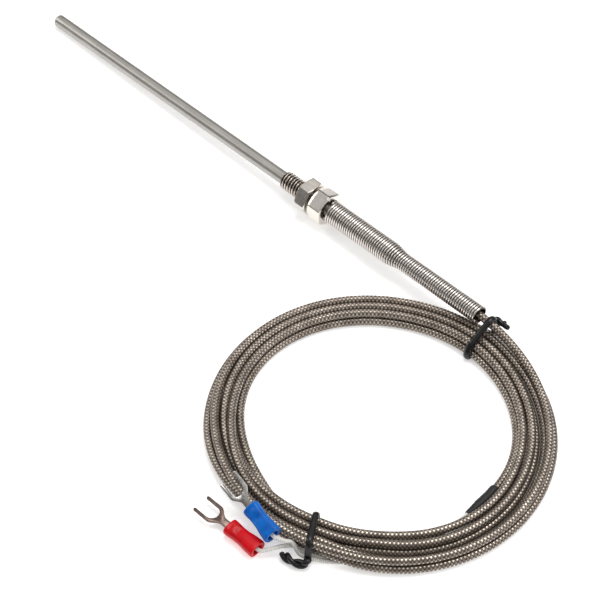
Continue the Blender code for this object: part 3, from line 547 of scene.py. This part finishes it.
def settle_coil():
    """The cable's turns and the two leads under them, pressed together until they lie on each other."""
    first_turn = 2 * pi * FULL_TURNS
    last = int(round((COIL_START + first_turn - BREAKOUT_TO) / STEP))
    sleeve = int(round((COIL_START + first_turn - BREAKOUT_FROM) / STEP))
    lead_first, lead_last = last - 3, int(round((COIL_START + first_turn - LEADS_OUT) / STEP))
    starts = [0, lead_first, lead_first]
    counts = [last + 1, lead_last - lead_first + 1, lead_last - lead_first + 1]
    index = np.concatenate([np.arange(s, s + c) for s, c in zip(starts, counts)])
    chain = np.concatenate([np.full(c, i) for i, c in enumerate(counts)])
    angle = COIL_START - index * STEP
    inner, outer = edges(angle)
    radius = np.where(chain == 0, CABLE / 2, LEAD / 2)
    thick = (chain == 0) & (index >= sleeve)
    share = np.clip((index - sleeve) / (last - sleeve), 0, 1)
    radius = np.where(thick, np.interp(share, (0, 0.6, 1), (BREAKOUT / 2, BREAKOUT / 2, 0.0013)), radius)

    # across the bundle, each turn moves one slot on as it goes round
    turn, within = np.divmod(index * STEP, 2 * pi)
    moved = np.clip((np.degrees(within) - 90) / 265, 0, 1)
    moved = moved * moved * (3 - 2 * moved)
    place = np.clip(turn + moved, 0, len(SLOTS) - 1)
    slots = np.array(SLOTS)
    across = np.interp(place, np.arange(len(SLOTS)), slots[:, 0])
    layer = np.interp(place, np.arange(len(SLOTS)), slots[:, 1])
    target = inner + radius + (outer - inner - 2 * radius) * across
    along_lead = (index - lead_first) / (lead_last - lead_first)
    for which, offset in ((1, -LEADS_APART), (2, LEADS_APART)):
        mine = chain == which
        target[mine] = LEADS_IN + offset + LEADS_DRIFT * np.clip((along_lead[mine] - 0.1) / 0.9, 0, 1) ** 1.3
    r = target.copy()
    z = np.where(chain == 0, CABLE / 2 + layer * LAYER_HEIGHT, LEAD / 2)

    # the tail comes straight out of the spring and comes down on the bundle
    spring_end = np.array(PROBE_TIP + PROBE_AXIS * SPRING_END) - COIL_CENTRE
    tail = (chain == 0) & (index < 10)
    x = spring_end[1] / np.tan(angle[tail])
    held = x < spring_end[0] + 0.002
    r_line = spring_end[1] / np.sin(angle[tail])
    z_line = spring_end[2] + (x - spring_end[0]) * PROBE_AXIS.z
    tail_at = np.flatnonzero(tail)
    r[tail_at] = np.minimum(r_line, TAIL_RADIUS)
    z[tail_at] = z_line
    fixed_at, fixed_r, fixed_z = tail_at[held], r_line[held], z_line[held]

    # one row per plane, one column per strand that crosses it; the spring is one more
    plane = index % PLANES
    columns = [[] for _ in range(PLANES)]
    for i, p in enumerate(plane):
        columns[p].append(i)
    width = max(len(c) for c in columns)
    table = np.full((PLANES, width), -1)
    for p, c in enumerate(columns):
        table[p, :len(c)] = c
    plane_angle = COIL_START - np.arange(PLANES) * STEP
    near_spring = (np.cos(plane_angle) * 0.0451 < spring_end[0] + 0.0005) & (np.sin(plane_angle) > 0.75)
    spring_r = np.where(near_spring, spring_end[1] / np.maximum(np.sin(plane_angle), 0.1), 10.0)
    spring_z = spring_end[2] + (spring_r * np.cos(plane_angle) - spring_end[0]) * PROBE_AXIS.z

    floor = floor_height(angle)
    joined = chain[1:] == chain[:-1]
    for step in range(ROUNDS):
        loose = max(0.0, 1 - step / (ROUNDS * 0.8))
        z -= SINK * loose
        r += PULL * loose * (target - r)
        for values in (r, z):
            mean = values.copy()
            inside = joined[1:] & joined[:-1]
            mean[1:-1][inside] = 0.5 * (values[:-2] + values[2:])[inside]
            values += (0.5 if step < ROUNDS * 0.9 else 0.15) * (mean - values)
        for _ in range(2):
            move_r, move_z, hits = np.zeros_like(r), np.zeros_like(z), np.zeros_like(r)
            for a in range(width):
                for b in range(a + 1, width):
                    i, j = table[:, a], table[:, b]
                    both = (i >= 0) & (j >= 0)
                    i, j = i[both], j[both]
                    lead_in_sleeve = (chain[i] != chain[j]) & (np.minimum(index[i], index[j]) >= sleeve) & (
                        np.maximum(index[i], index[j]) <= last) & (index[i] == index[j])
                    dr, dz = r[i] - r[j], z[i] - z[j]
                    far = np.maximum(np.hypot(dr, dz), 1e-7)
                    over = np.maximum(radius[i] + radius[j] - far, 0) * ~lead_in_sleeve
                    weight = radius[j] ** 2 / (radius[i] ** 2 + radius[j] ** 2)
                    np.add.at(move_r, i, over * dr / far * weight)
                    np.add.at(move_z, i, over * dz / far * weight)
                    np.add.at(move_r, j, -over * dr / far * (1 - weight))
                    np.add.at(move_z, j, -over * dz / far * (1 - weight))
                    np.add.at(hits, i, over > 0)
                    np.add.at(hits, j, over > 0)
            share_of = np.maximum(1, hits * 0.6)
            r += move_r / share_of
            z += move_z / share_of
            for a in range(width):
                i = table[:, a]
                use = (i >= 0) & near_spring
                i, p = i[use], np.flatnonzero(use)
                clear = index[i] > 12
                i, p = i[clear], p[clear]
                dr, dz = r[i] - spring_r[p], z[i] - spring_z[p]
                far = np.maximum(np.hypot(dr, dz), 1e-7)
                over = np.maximum(SPRING_CLEAR + radius[i] - far, 0)
                r[i] += over * dr / far
                z[i] += over * dz / far
            z = np.maximum(z, radius + floor)
            r[fixed_at], z[fixed_at] = fixed_r, fixed_z
            for which, rise in ((1, -1), (2, 1)):
                start = np.flatnonzero(chain == which)[:4]
                end = np.flatnonzero(chain == 0)[-4:]
                r[start] = r[end]
                z[start] = z[end] + rise * (LEAD / 2 + GAP / 4)
            ends = np.flatnonzero(chain == 0)[-1:]
            z[ends] = np.maximum(z[ends], LEAD + GAP / 4)
    points = np.stack((r * np.cos(angle), r * np.sin(angle), z), 1) + COIL_CENTRE
    return points[chain == 0], [points[chain == 1], points[chain == 2]], sleeve, last


turns, hidden_leads, sleeve_index, last_index = settle_coil()


def smoothed(path, times=2):
    path = path.copy()
    for _ in range(times):
        path[1:-1] = 0.25 * path[:-2] + 0.5 * path[1:-1] + 0.25 * path[2:]
    return path


spring_mouth = np.array(PROBE_TIP + PROBE_AXIS * SPRING_END)
inside_spring = np.array(PROBE_TIP + PROBE_AXIS * (SPRING_END - 0.0012))
free_turns = smoothed(turns[:sleeve_index + 4])
past_mouth = np.flatnonzero((np.arange(len(free_turns)) > 20) | (free_turns[:, 0] > spring_mouth[0] + 0.0008))
cable_route = catmull(np.vstack(([inside_spring, spring_mouth], free_turns[past_mouth])), 4)
cable_route = resample(cable_route, BRAID_REPEAT / 4)


def braid_relief(path, sides):
    """The radius at each ring and side, where ribbons of wire cross over and under."""
    s = lengths_along(path)[:, None] / BRAID_REPEAT
    v = np.arange(sides)[None] / sides * BRAID_CELLS
    a, b = s + v, s - v
    crown_a, crown_b = np.abs(np.sin(pi * a)), np.abs(np.sin(pi * b))
    even = (np.floor(a) + np.floor(b)) % 2 == 0
    height = np.where(even, crown_a * np.sqrt(crown_b), crown_b * np.sqrt(crown_a))
    return CABLE / 2 - BRAID_RELIEF + BRAID_RELIEF * height


cable = loft("braided_cable", swept(cable_route, braid_relief(cable_route, 16), 16), BRAID,
             uv_u=list(lengths_along(cable_route)))
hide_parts("cable_tail", "cable_coil", "cable_end")


# -------------------- breakout and leads
BREAKOUT_SIDES = 28
LEAD_SIDES = 12
SLEEVE_SIDES = 56


def make_breakout():
    route = resample(catmull(smoothed(turns[sleeve_index:last_index + 1]), 6), 0.00025)
    s = lengths_along(route)
    turn = np.arange(BREAKOUT_SIDES) * 2 * pi / BREAKOUT_SIDES
    share = s / s[-1]
    base = np.interp(share, (0, 0.015, 0.05, 0.28, 0.4, 0.62, 0.78, 0.93, 1.0),
                     (0.00142, 0.00157, 0.00163, 0.00160, 0.00166, 0.00165, 0.00150, 0.00138, 0.00128))
    wide = np.interp(share, (0, 0.6, 0.85, 1.0), (1.0, 1.0, 0.86, 0.74))
    ripple = 1 + 0.012 * np.sin(s[:, None] * 5200 + 1.3 * np.sin(turn)[None]) * (share[:, None] > 0.1)
    radius = base[:, None] * ripple * np.sqrt((wide[:, None] * np.cos(turn)) ** 2 + np.sin(turn) ** 2)
    rings = swept(route, radius, BREAKOUT_SIDES)
    inner = swept(route[[-1, 0]], np.array([0.0011, 0.0013]), BREAKOUT_SIDES)
    rings = np.concatenate((rings, [rings[-1] * 0.3 + inner[0] * 0.7], [rings[0] * 0.3 + inner[1] * 0.7]))
    sleeve = loft("heat_shrink_breakout", rings, BLACK_SLEEVE, closed=True, sharp=50)
    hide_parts("breakout_sleeve")
    return sleeve


def terminal_route(hidden, route, rear, inside):
    points = list(hidden[::3]) + [COIL_CENTRE + np.array(p) for p in route]
    return catmull(np.array(points + [rear, inside]), 8)


RED_ENDS = ((0.00425, -0.0534, 0.0022), (-0.00665, -0.0534, 0.0022))
RED_ROLL = 0.0
RED_LEAD_ROUTE = ((0.0108, -0.0459, 0.0026), (0.0090, -0.0478, 0.0030), (0.0072, -0.0505, 0.0028),
                  (0.0056, -0.0527, 0.0023))
BLUE_ENDS = ((0.00575, -0.04895, 0.0058), (-0.00492, -0.0468, 0.00635))
BLUE_ROLL = radians(-35)
BLUE_LEAD_ROUTE = ((0.0104, -0.0461, 0.0041), (0.0090, -0.0475, 0.0050), (0.0072, -0.0486, 0.0056))
SLEEVE_LENGTH = 0.0109
SLEEVE_SECTIONS = ((0, 0.0027, 0.0019), (0.05, 0.0028, 0.00195), (0.3, 0.0026, 0.00185),
                   (0.48, 0.0023, 0.0018), (0.7, 0.0023, 0.0018), (0.95, 0.0026, 0.0018),
                   (1, 0.0025, 0.00175))
SQUARENESS = 2.6
LEAD_IN_SLEEVE = 0.0032
FORK_REACH = 0.0112
FORK_WIDTH = 0.0061
FORK_SLOT_WIDTH = 0.0043
FORK_SLOT_DEPTH = 0.0066
FORK_NECK_WIDTH = 0.0022
FORK_THICKNESS = 0.0007


def make_lead(name, hidden, route, ends, cad_nodes):
    rear, front = (COIL_CENTRE + np.array(p) for p in ends)
    inside = rear + (front - rear) / np.linalg.norm(front - rear) * LEAD_IN_SLEEVE
    line = resample(terminal_route(smoothed(hidden, 3), route, rear, inside), 0.00022)
    s = lengths_along(line)[:, None]
    v = np.arange(LEAD_SIDES)[None] / LEAD_SIDES * YARN_CELLS
    weave = np.sin((s / YARN_REPEAT + v) * 2 * pi) * np.sin((s / YARN_REPEAT - v) * 2 * pi)
    lead = loft(name, swept(line, LEAD / 2 - YARN_RELIEF + YARN_RELIEF * weave, LEAD_SIDES), YARN,
                uv_u=list(lengths_along(line)))
    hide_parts(*cad_nodes)
    return lead, line


def terminal_frame(ends, roll):
    """A matrix whose X runs from the sleeve's rear to the fork."""
    rear, front = (Vector(COIL_CENTRE) + Vector(p) for p in ends)
    turn = (front - rear).to_track_quat("X", "Z") @ Quaternion((1, 0, 0), roll)
    return Matrix.Translation(rear) @ turn.to_matrix().to_4x4()


def in_frame(rings, matrix):
    rings = np.asarray(rings, float)
    turn = np.array(matrix.to_3x3())
    return rings @ turn.T + np.array(matrix.translation)


def superellipse(half_width, half_height, sides):
    turn = np.arange(sides) * 2 * pi / sides
    across = np.abs(np.cos(turn)) ** (2 / SQUARENESS) * np.sign(np.cos(turn)) * half_width
    upward = np.abs(np.sin(turn)) ** (2 / SQUARENESS) * np.sign(np.sin(turn)) * half_height
    return across, upward


def make_sleeve(name, matrix, material, node, dents):
    """dents lists (share along, across, depth, length, width) pressed into the top and the bottom."""
    table = np.array(SLEEVE_SECTIONS)
    shares = np.concatenate(([0, 0.008, 0.02], np.linspace(0.04, 0.96, 47), [0.98, 0.992, 1.0]))
    rings = []
    for share in shares:
        soft = [np.interp(np.clip(share + d, 0, 1), table[:, 0], table[:, i]) for i in (1, 2)
                for d in (-0.05, 0, 0.05)]
        edge = 0.00010 * (1 - min(1, min(share, 1 - share) / 0.02)) ** 2
        across, upward = superellipse(np.mean(soft[:3]) - edge, np.mean(soft[3:]) - edge, SLEEVE_SIDES)
        for at, side, depth, length, width in dents:
            fall = np.exp(-((share - at) * SLEEVE_LENGTH / length) ** 2 - ((across - side) / width) ** 2)
            upward -= np.sign(upward) * np.where(np.sign(upward) > 0, depth, depth * 0.6) * fall * (
                np.abs(upward) > 0.0004)
        rings.append(np.stack((np.full(SLEEVE_SIDES, share * SLEEVE_LENGTH), across, upward), 1))
    mouth = []
    for along, size in ((0.0034, 0.30), (0.0034, 0.52), (0.0004, 0.60), (0.00008, 0.64)):
        across, upward = superellipse(0.0027 * size, 0.0021 * size, SLEEVE_SIDES)
        mouth.append(np.stack((np.full(SLEEVE_SIDES, along), across, upward), 1))
    sleeve = loft(name, in_frame(mouth + rings, matrix), material, sharp=50)
    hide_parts(node)
    return sleeve


def fork_outline():
    tip = SLEEVE_LENGTH + FORK_REACH
    slot, half, neck = FORK_SLOT_WIDTH / 2, FORK_WIDTH / 2, FORK_NECK_WIDTH / 2
    centre = tip - FORK_SLOT_DEPTH + slot
    points = [(centre - slot * cos(t), slot * sin(t)) for t in np.linspace(0, pi / 2, 13)]
    middle, thick = (slot + half) / 2, (half - slot) / 2
    points += [(tip - thick + thick * sin(t), middle - thick * cos(t)) for t in np.linspace(0, pi, 11)]
    for share in np.linspace(0, 1, 14):
        blend = share * share * (3 - 2 * share)
        points.append((centre - slot + 0.0013 - share * 0.00365, half - (half - neck) * blend))
    points.append((SLEEVE_LENGTH - 0.0005, neck))
    return np.array(points)


def make_fork(name, matrix, material, node):
    side = fork_outline()
    outline = np.vstack((side, (side * (1, -1))[:0:-1]))
    ahead, behind = np.roll(outline, -1, 0), np.roll(outline, 1, 0)
    along = ahead - behind
    normal = np.stack((along[:, 1], -along[:, 0]), 1)
    normal /= np.linalg.norm(normal, axis=1)[:, None]
    area = np.sum(outline[:, 0] * ahead[:, 1] - ahead[:, 0] * outline[:, 1])
    normal *= -1 if area > 0 else 1
    half, soft = FORK_THICKNESS / 2, 0.00009
    rings = []
    for height, inset in ((-half, soft), (-half + soft * 0.3, soft * 0.3), (-half + soft, 0),
                          (half - soft, 0), (half - soft * 0.3, soft * 0.3), (half, soft)):
        flat = outline + normal * inset
        rings.append(np.column_stack((flat, np.full(len(flat), height))))
    rings = in_frame(rings, matrix)
    count, sides = rings.shape[:2]
    faces = [(i * sides + j, i * sides + k, (i + 1) * sides + k, (i + 1) * sides + j)
             for i in range(count - 1) for j in range(sides) for k in ((j + 1) % sides,)]
    faces += [tuple(range(sides))[::-1], tuple(range((count - 1) * sides, count * sides))]
    fork = mesh_object(name, rings.reshape(-1, 3), faces, material, sharp=40)
    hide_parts(node)
    return fork


breakout = make_breakout()
red_lead, red_line = make_lead("lead_positive_yarn", hidden_leads[0], RED_LEAD_ROUTE, RED_ENDS,
                               ("lead_positive_start", "lead_positive"))
blue_lead, blue_line = make_lead("lead_negative_yarn", hidden_leads[1], BLUE_LEAD_ROUTE, BLUE_ENDS,
                                 ("lead_negative_start", "lead_negative"))
red_at, blue_at = terminal_frame(RED_ENDS, RED_ROLL), terminal_frame(BLUE_ENDS, BLUE_ROLL)
red_sleeve = make_sleeve("vinyl_sleeve_red", red_at, RED, "terminal_sleeve_red",
                         ((0.66, 0.0, 0.00042, 0.0011, 0.0013), (0.90, 0.0007, 0.00025, 0.0006, 0.0008)))
blue_sleeve = make_sleeve("vinyl_sleeve_blue", blue_at, BLUE, "terminal_sleeve_blue",
                          ((0.62, 0.0003, 0.00036, 0.0012, 0.0012), (0.88, -0.0006, 0.0002, 0.0006, 0.0008)))
red_fork = make_fork("fork_red", red_at, TIN_DARK, "fork_terminal_red")
blue_fork = make_fork("fork_blue", blue_at, TIN_BRIGHT, "fork_terminal_blue")


# -------------------- ties
def crossings(base, heading):
    """Where the strands pass through the upright plane at base: (outwards, height, radius)."""
    outward, normal = (np.array((cos(heading), sin(heading), 0)),
                       np.array((-sin(heading), cos(heading), 0)))
    found = []
    for path, radius in ((cable_route, CABLE / 2), (red_line, LEAD / 2), (blue_line, LEAD / 2)):
        side = (path - base) @ normal
        out = (path - base) @ outward
        for i in np.flatnonzero((side[:-1] * side[1:] <= 0) & (np.abs(out[:-1]) < 0.0105)):
            found.append((out[i], path[i, 2], radius))
    return outward, normal, found


def make_tie(name, middle, heading, tail, tail_height, node, bulge=1.02):
    """A loop drawn tight round the strands, and its two ends twisted together."""
    base = COIL_CENTRE + np.array(middle)
    outward, normal, found = crossings(base, heading)
    loop = []
    for t in np.linspace(0, 2 * pi, 73)[:-1]:
        n = np.array((cos(t), sin(t)))
        best = max(found, key=lambda c: c[0] * n[0] + c[1] * n[1] + c[2])
        reach = best[2] * bulge + TIE_RADIUS
        loop.append((best[0] + reach * n[0], max(best[1] + reach * n[1], TIE_RADIUS)))
    loop = np.array(loop)
    closed = np.vstack((loop, loop[:1]))
    s = lengths_along(closed)
    t = np.linspace(0, s[-1], 97)[:-1]
    loop = np.stack([np.interp(t, s, closed[:, i]) for i in (0, 1)], 1)
    for _ in range(3):
        loop = 0.25 * np.roll(loop, 1, 0) + 0.5 * loop + 0.25 * np.roll(loop, -1, 0)
    path = base + loop[:, :1] * outward + np.array([0, 0, 1]) * loop[:, 1:]
    band = loft(name, swept(path, TIE_RADIUS, 16, up=normal, closed=True, flat=TIE_FLATNESS), BLACK_TIE,
                closed=True)
    # the ends leave the loop on its outer side and are twisted together
    near = int(np.argmin(np.abs(loop[:, 1] - tail_height) + (loop[:, 0] < 0) * 1.0))
    start = path[near] + outward * 0.0003
    route = resample(catmull([start - outward * 0.0006, start + outward * 0.0006]
                             + [COIL_CENTRE + np.array(p) for p in tail], 10), 0.0002)
    _, side, rise = frames(route)
    turns_of = lengths_along(route) / TIE_TWIST_LENGTH * 2 * pi
    for number, phase in ((1, 0.0), (2, pi)):
        grow = np.clip(lengths_along(route) / 0.001, 0.2, 1) * TIE_RADIUS
        strand = (route + side * (grow * np.cos(turns_of + phase))[:, None]
                  + rise * (grow * np.sin(turns_of + phase))[:, None])
        strand = strand[: len(strand) - (0 if number == 1 else 5)]
        ends = np.ones(len(strand))
        ends[-1], ends[-2] = 0.55, 0.9
        end = loft(f"{name}_end_{number}", swept(strand, TIE_END_RADIUS * ends, 14), BLACK_TIE)
        end.parent = band
    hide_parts(node)
    return band


upper_tie = make_tie("tie_upper", (0.0012, 0.0411, 0), radians(90),
                     ((0.0030, 0.0484, 0.0062), (0.0048, 0.0496, 0.0056)), 0.0064, "twist_tie_upper")
lower_tie = make_tie("tie_lower", (0.0118, -0.0397, 0), radians(-57),
                     ((0.0160, -0.0482, 0.0017), (0.0126, -0.0496, 0.0016), (0.0094, -0.0492, 0.0018)),
                     0.0024, "twist_tie_lower")


# -------------------- probe, fitting, nut, spring
def corner_angle(node):
    """Where the hexagon's corners stand round the probe's axis."""
    data = nodes[node].data
    points = np.empty(len(data.vertices) * 3)
    data.vertices.foreach_get("co", points)
    points = points.reshape(-1, 3) - np.array(PROBE_TIP)
    up, side = points @ np.array(PROBE_UP), points @ np.array(PROBE_SIDE)
    far = np.hypot(up, side)
    best = far > far.max() - 0.00002
    return float(np.angle(np.mean(np.exp(6j * np.arctan2(side[best], up[best])))) / 6)


HEX_HALF = 0.0049
HEX_FACE = 0.00485
HEX_SIDES = 96


def hexagon_radius(inset=0.0):
    """Round a hexagon from one corner, with its corners a little rounded."""
    turn = np.arange(HEX_SIDES) * 2 * pi / HEX_SIDES
    local = (turn % (pi / 3)) - pi / 6
    radius = HEX_HALF / np.cos(local)
    return np.minimum(radius, HEX_HALF / cos(pi / 6) - 0.00009) - inset


def hexagon_profile(start, end):
    chamfer = tan(radians(30))
    outer = hexagon_radius()
    rows = [(start, HEX_FACE - 0.00004), (start + 0.00001, HEX_FACE + 0.00002)]
    rise = (outer - HEX_FACE) * chamfer
    rows += [(start + rise * 0.5, HEX_FACE + (outer - HEX_FACE) * 0.5),
             (start + rise - 0.00004 * chamfer, outer - 0.00004), (start + rise + 0.00001, outer - 0.00001),
             (start + rise + 0.00005, outer)]
    rows += [(start + rise * 0.6 + (end - start) * 0.2, outer), ((start + end) / 2, outer)]
    return rows + [(start + end - along, radius) for along, radius in rows[::-1][1:]]


def thread_radius(along, turn):
    phase = (along / THREAD_PITCH + turn / (2 * pi)) % 1.0
    from_crest = np.minimum(phase, 1 - phase) * THREAD_PITCH - THREAD_PITCH / 16
    height = np.clip(THREAD_CREST - THREAD_ROOT - np.maximum(0, from_crest) * 3 ** 0.5, 0, None)
    return np.minimum(THREAD_ROOT + height, THREAD_CREST - (THREAD_START + 0.0006 - along))


def make_fitting():
    corner = corner_angle("threaded_fitting")
    turn = np.arange(HEX_SIDES) * 2 * pi / HEX_SIDES + corner
    rows = [(THREAD_START, FITTING_BORE)]
    rows += [(along, thread_radius(along, turn)) for along in np.arange(THREAD_START, HEAD_START, 0.00006)]
    rows += [(HEAD_START, THREAD_ROOT)]
    rows += hexagon_profile(HEAD_START, HEAD_END)
    rows += [(HEAD_END, 0.00355), (HEAD_END - 0.00008, COUNTERBORE),
             (HEAD_END - COUNTERBORE_DEPTH, COUNTERBORE), (HEAD_END - COUNTERBORE_DEPTH, FITTING_BORE)]
    piece = loft("fitting_stem_and_head", around_probe(rows, HEX_SIDES, corner), THREAD_METAL,
                 closed=True, sharp=28, body="fitting")
    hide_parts("threaded_fitting")


def make_nut():
    corner = corner_angle("lock_nut")
    rows = hexagon_profile(NUT_START, NUT_END)
    rows += [(NUT_END, NUT_COUNTERSINK), (NUT_END - 0.0002, NUT_BORE), (NUT_START + 0.0002, NUT_BORE),
             (NUT_START, NUT_COUNTERSINK)]
    piece = loft("lock_nut_hexagon", around_probe(rows, HEX_SIDES, corner), NICKEL, closed=True, sharp=28,
                 body="lock_nut")
    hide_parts("lock_nut")


def make_sheath():
    rows = [(0.0, 0.0006), (0.0, TIP_FLAT)]
    rows += [(TIP_ROUND - TIP_ROUND * cos(t), TIP_FLAT + TIP_ROUND * sin(t))
             for t in np.linspace(0.15, pi / 2, 9)]
    rows += [(along, SHEATH_RADIUS) for along in np.linspace(0.004, SHEATH_END, 50)]
    rows += [(SHEATH_END, SHEATH_RADIUS - SHEATH_WALL), (0.0012, SHEATH_RADIUS - SHEATH_WALL)]
    piece = loft("sheath_tube", around_probe(rows, 72), SHEATH_STEEL, sharp=40)
    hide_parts("probe_sheath")


def make_spring():
    first, last = SPRING_START + SPRING_WIRE / 2, SPRING_END - SPRING_WIRE / 2
    per_turn = 30
    steps = int(round((last - first) / SPRING_PITCH * per_turn))
    along = np.linspace(first, last, steps + 1)
    turn = np.arange(steps + 1) * 2 * pi / per_turn
    share = np.clip((along - SPRING_START - SPRING_WIDE_LENGTH) / SPRING_TAPER_LENGTH, 0, 1)
    share = share * share * (3 - 2 * share)
    radius = SPRING_WIDE_RADIUS + (SPRING_NARROW_RADIUS - SPRING_WIDE_RADIUS) * share
    path = (np.array(PROBE_TIP) + along[:, None] * np.array(PROBE_AXIS)
            + (radius * np.cos(turn))[:, None] * np.array(PROBE_UP)
            + (radius * np.sin(turn))[:, None] * np.array(PROBE_SIDE))
    piece = loft("spring_wire", swept(path, SPRING_WIRE / 2, 10, up=np.array(PROBE_AXIS)), SPRING_STEEL,
                 uv_u=list(lengths_along(path)))
    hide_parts("strain_relief_spring")


make_fitting()
make_nut()
make_sheath()
make_spring()


# -------------------- finishes of the pieces inside
INSIDE = {
    "stainless_inside": ("metal", (0.40, 0.38, 0.36), (0.56, 0.54, 0.51), 0.35,
                         ("retaining_collar", "transition_sleeve")),
    "nickel_inside": ("metal", (0.56, 0.52, 0.46), (0.80, 0.76, 0.69), 0.22, ("gland_ring",)),
    "weld_bead": ("metal", (0.20, 0.18, 0.17), (0.46, 0.43, 0.40), 0.5, ("hot_junction_bead",)),
    "positive_wire_metal": ("metal", (0.44, 0.42, 0.40), (0.60, 0.58, 0.55), 0.35,
                            ("positive_wire", "cable_core_positive")),
    "negative_wire_metal": ("metal", (0.36, 0.36, 0.37), (0.54, 0.54, 0.54), 0.4,
                            ("negative_wire", "cable_core_negative")),
    "splice_tin": ("metal", (0.58, 0.55, 0.51), (0.80, 0.77, 0.72), 0.35,
                   ("splice_positive", "splice_negative")),
    "fired_alumina": ("plastic", (0.84, 0.81, 0.74), (0.91, 0.89, 0.83), 0.6,
                      ("ceramic_insulator_1", "ceramic_insulator_2", "ceramic_insulator_3",
                       "ceramic_insulator_4")),
    "set_cement": ("plastic", (0.58, 0.54, 0.47), (0.74, 0.70, 0.63), 0.85,
                   ("sheath_end_seal", "cable_potting")),
    "held_braid": ("metal", (0.20, 0.165, 0.135), (0.46, 0.41, 0.36), 0.45, ("cable_in_spring",)),
}


def finish_inside():
    for name, (kind, dark, light, rough, members) in INSIDE.items():
        if kind == "metal":
            material = metal(name, dark, light, rough)
        else:
            middle = tuple((a + b) / 2 for a, b in zip(dark, light))
            material = make_plastic(name, dark, middle, light, rough, scale=1500.0)
        for member in members:
            data = nodes[member].data
            data.materials.clear()
            data.materials.append(material)


finish_inside()


# -------------------- floor, light
def make_stage():
    shader = Shader("pale_floor", Roughness=0.9)
    shader.link(shader.ramp(shader.noise(shader.place(), 40, 3), (0.3, 0.90), (0.7, 0.94)), "Base Color")
    shader.surface.inputs["Emission Color"].default_value = (1, 1, 1, 1)
    shader.surface.inputs["Emission Strength"].default_value = FLOOR_GLOW
    data = bpy.data.meshes.new("floor")
    data.from_pydata([(-3, -3, 0), (3, -3, 0), (3, 3, 0), (-3, 3, 0)], [], [(0, 1, 2, 3)])
    data.materials.append(shader.material)
    floor = bpy.data.objects.new("floor", data)
    bpy.context.scene.collection.objects.link(floor)
    floor.location.z = float(cad_box[0][2]) - FLOOR_DROP


def make_studio():
    """Soft light from all round: darkest low down behind the object, brightest high up behind it."""
    world = bpy.data.worlds.new("studio")
    world.use_nodes = True
    tree = world.node_tree
    towards = tree.nodes.new("ShaderNodeSeparateXYZ")
    tree.links.new(tree.nodes.new("ShaderNodeTexCoord").outputs["Generated"], towards.inputs[0])
    side = tree.nodes.new("ShaderNodeMapRange")
    side.inputs["From Min"].default_value = -0.3
    side.inputs["From Max"].default_value = 0.3
    tree.links.new(towards.outputs["Y"], side.inputs["Value"])
    blend = tree.nodes.new("ShaderNodeMix")
    blend.data_type = "RGBA"
    tree.links.new(side.outputs[0], blend.inputs[0])
    front = ((0.0, 0.20), (0.3, 0.24), (0.7, 0.46), (1.0, 0.66))
    behind = ((0.0, 0.04), (0.16, 0.06), (0.36, 0.42), (0.62, 0.82))
    for stops, socket in ((front, blend.inputs[6]), (behind, blend.inputs[7])):
        ramp = tree.nodes.new("ShaderNodeValToRGB")
        while len(ramp.color_ramp.elements) < len(stops):
            ramp.color_ramp.elements.new(1.0)
        for element, (height, level) in zip(ramp.color_ramp.elements, stops):
            element.position = height
            element.color = (level, level * 0.985, level * 0.96, 1)
        tree.links.new(towards.outputs["Z"], ramp.inputs[0])
        tree.links.new(ramp.outputs[0], socket)
    tree.links.new(blend.outputs[2], tree.nodes["Background"].inputs["Color"])
    bpy.context.scene.world = world


def add_area(name, location, size, power, colour=(1, 1, 1), size_y=None):
    data = bpy.data.lights.new(name, "AREA")
    data.energy = power
    data.size = size
    data.color = colour
    if size_y:
        data.shape = "RECTANGLE"
        data.size_y = size_y
    obj = bpy.data.objects.new(name, data)
    obj.location = location
    obj.rotation_euler = (TARGET - Vector(location)).to_track_quat("-Z", "Y").to_euler()
    bpy.context.scene.collection.objects.link(obj)


make_stage()
make_studio()
add_area("softbox_top", (0.0, 0.2, 0.9), 0.45, 3.6)
add_area("softbox_left", (-0.75, -0.35, 0.55), 0.4, 1.6, (1.0, 0.985, 0.96))
add_area("softbox_right", (0.75, 0.25, 0.45), 0.3, 1.2)
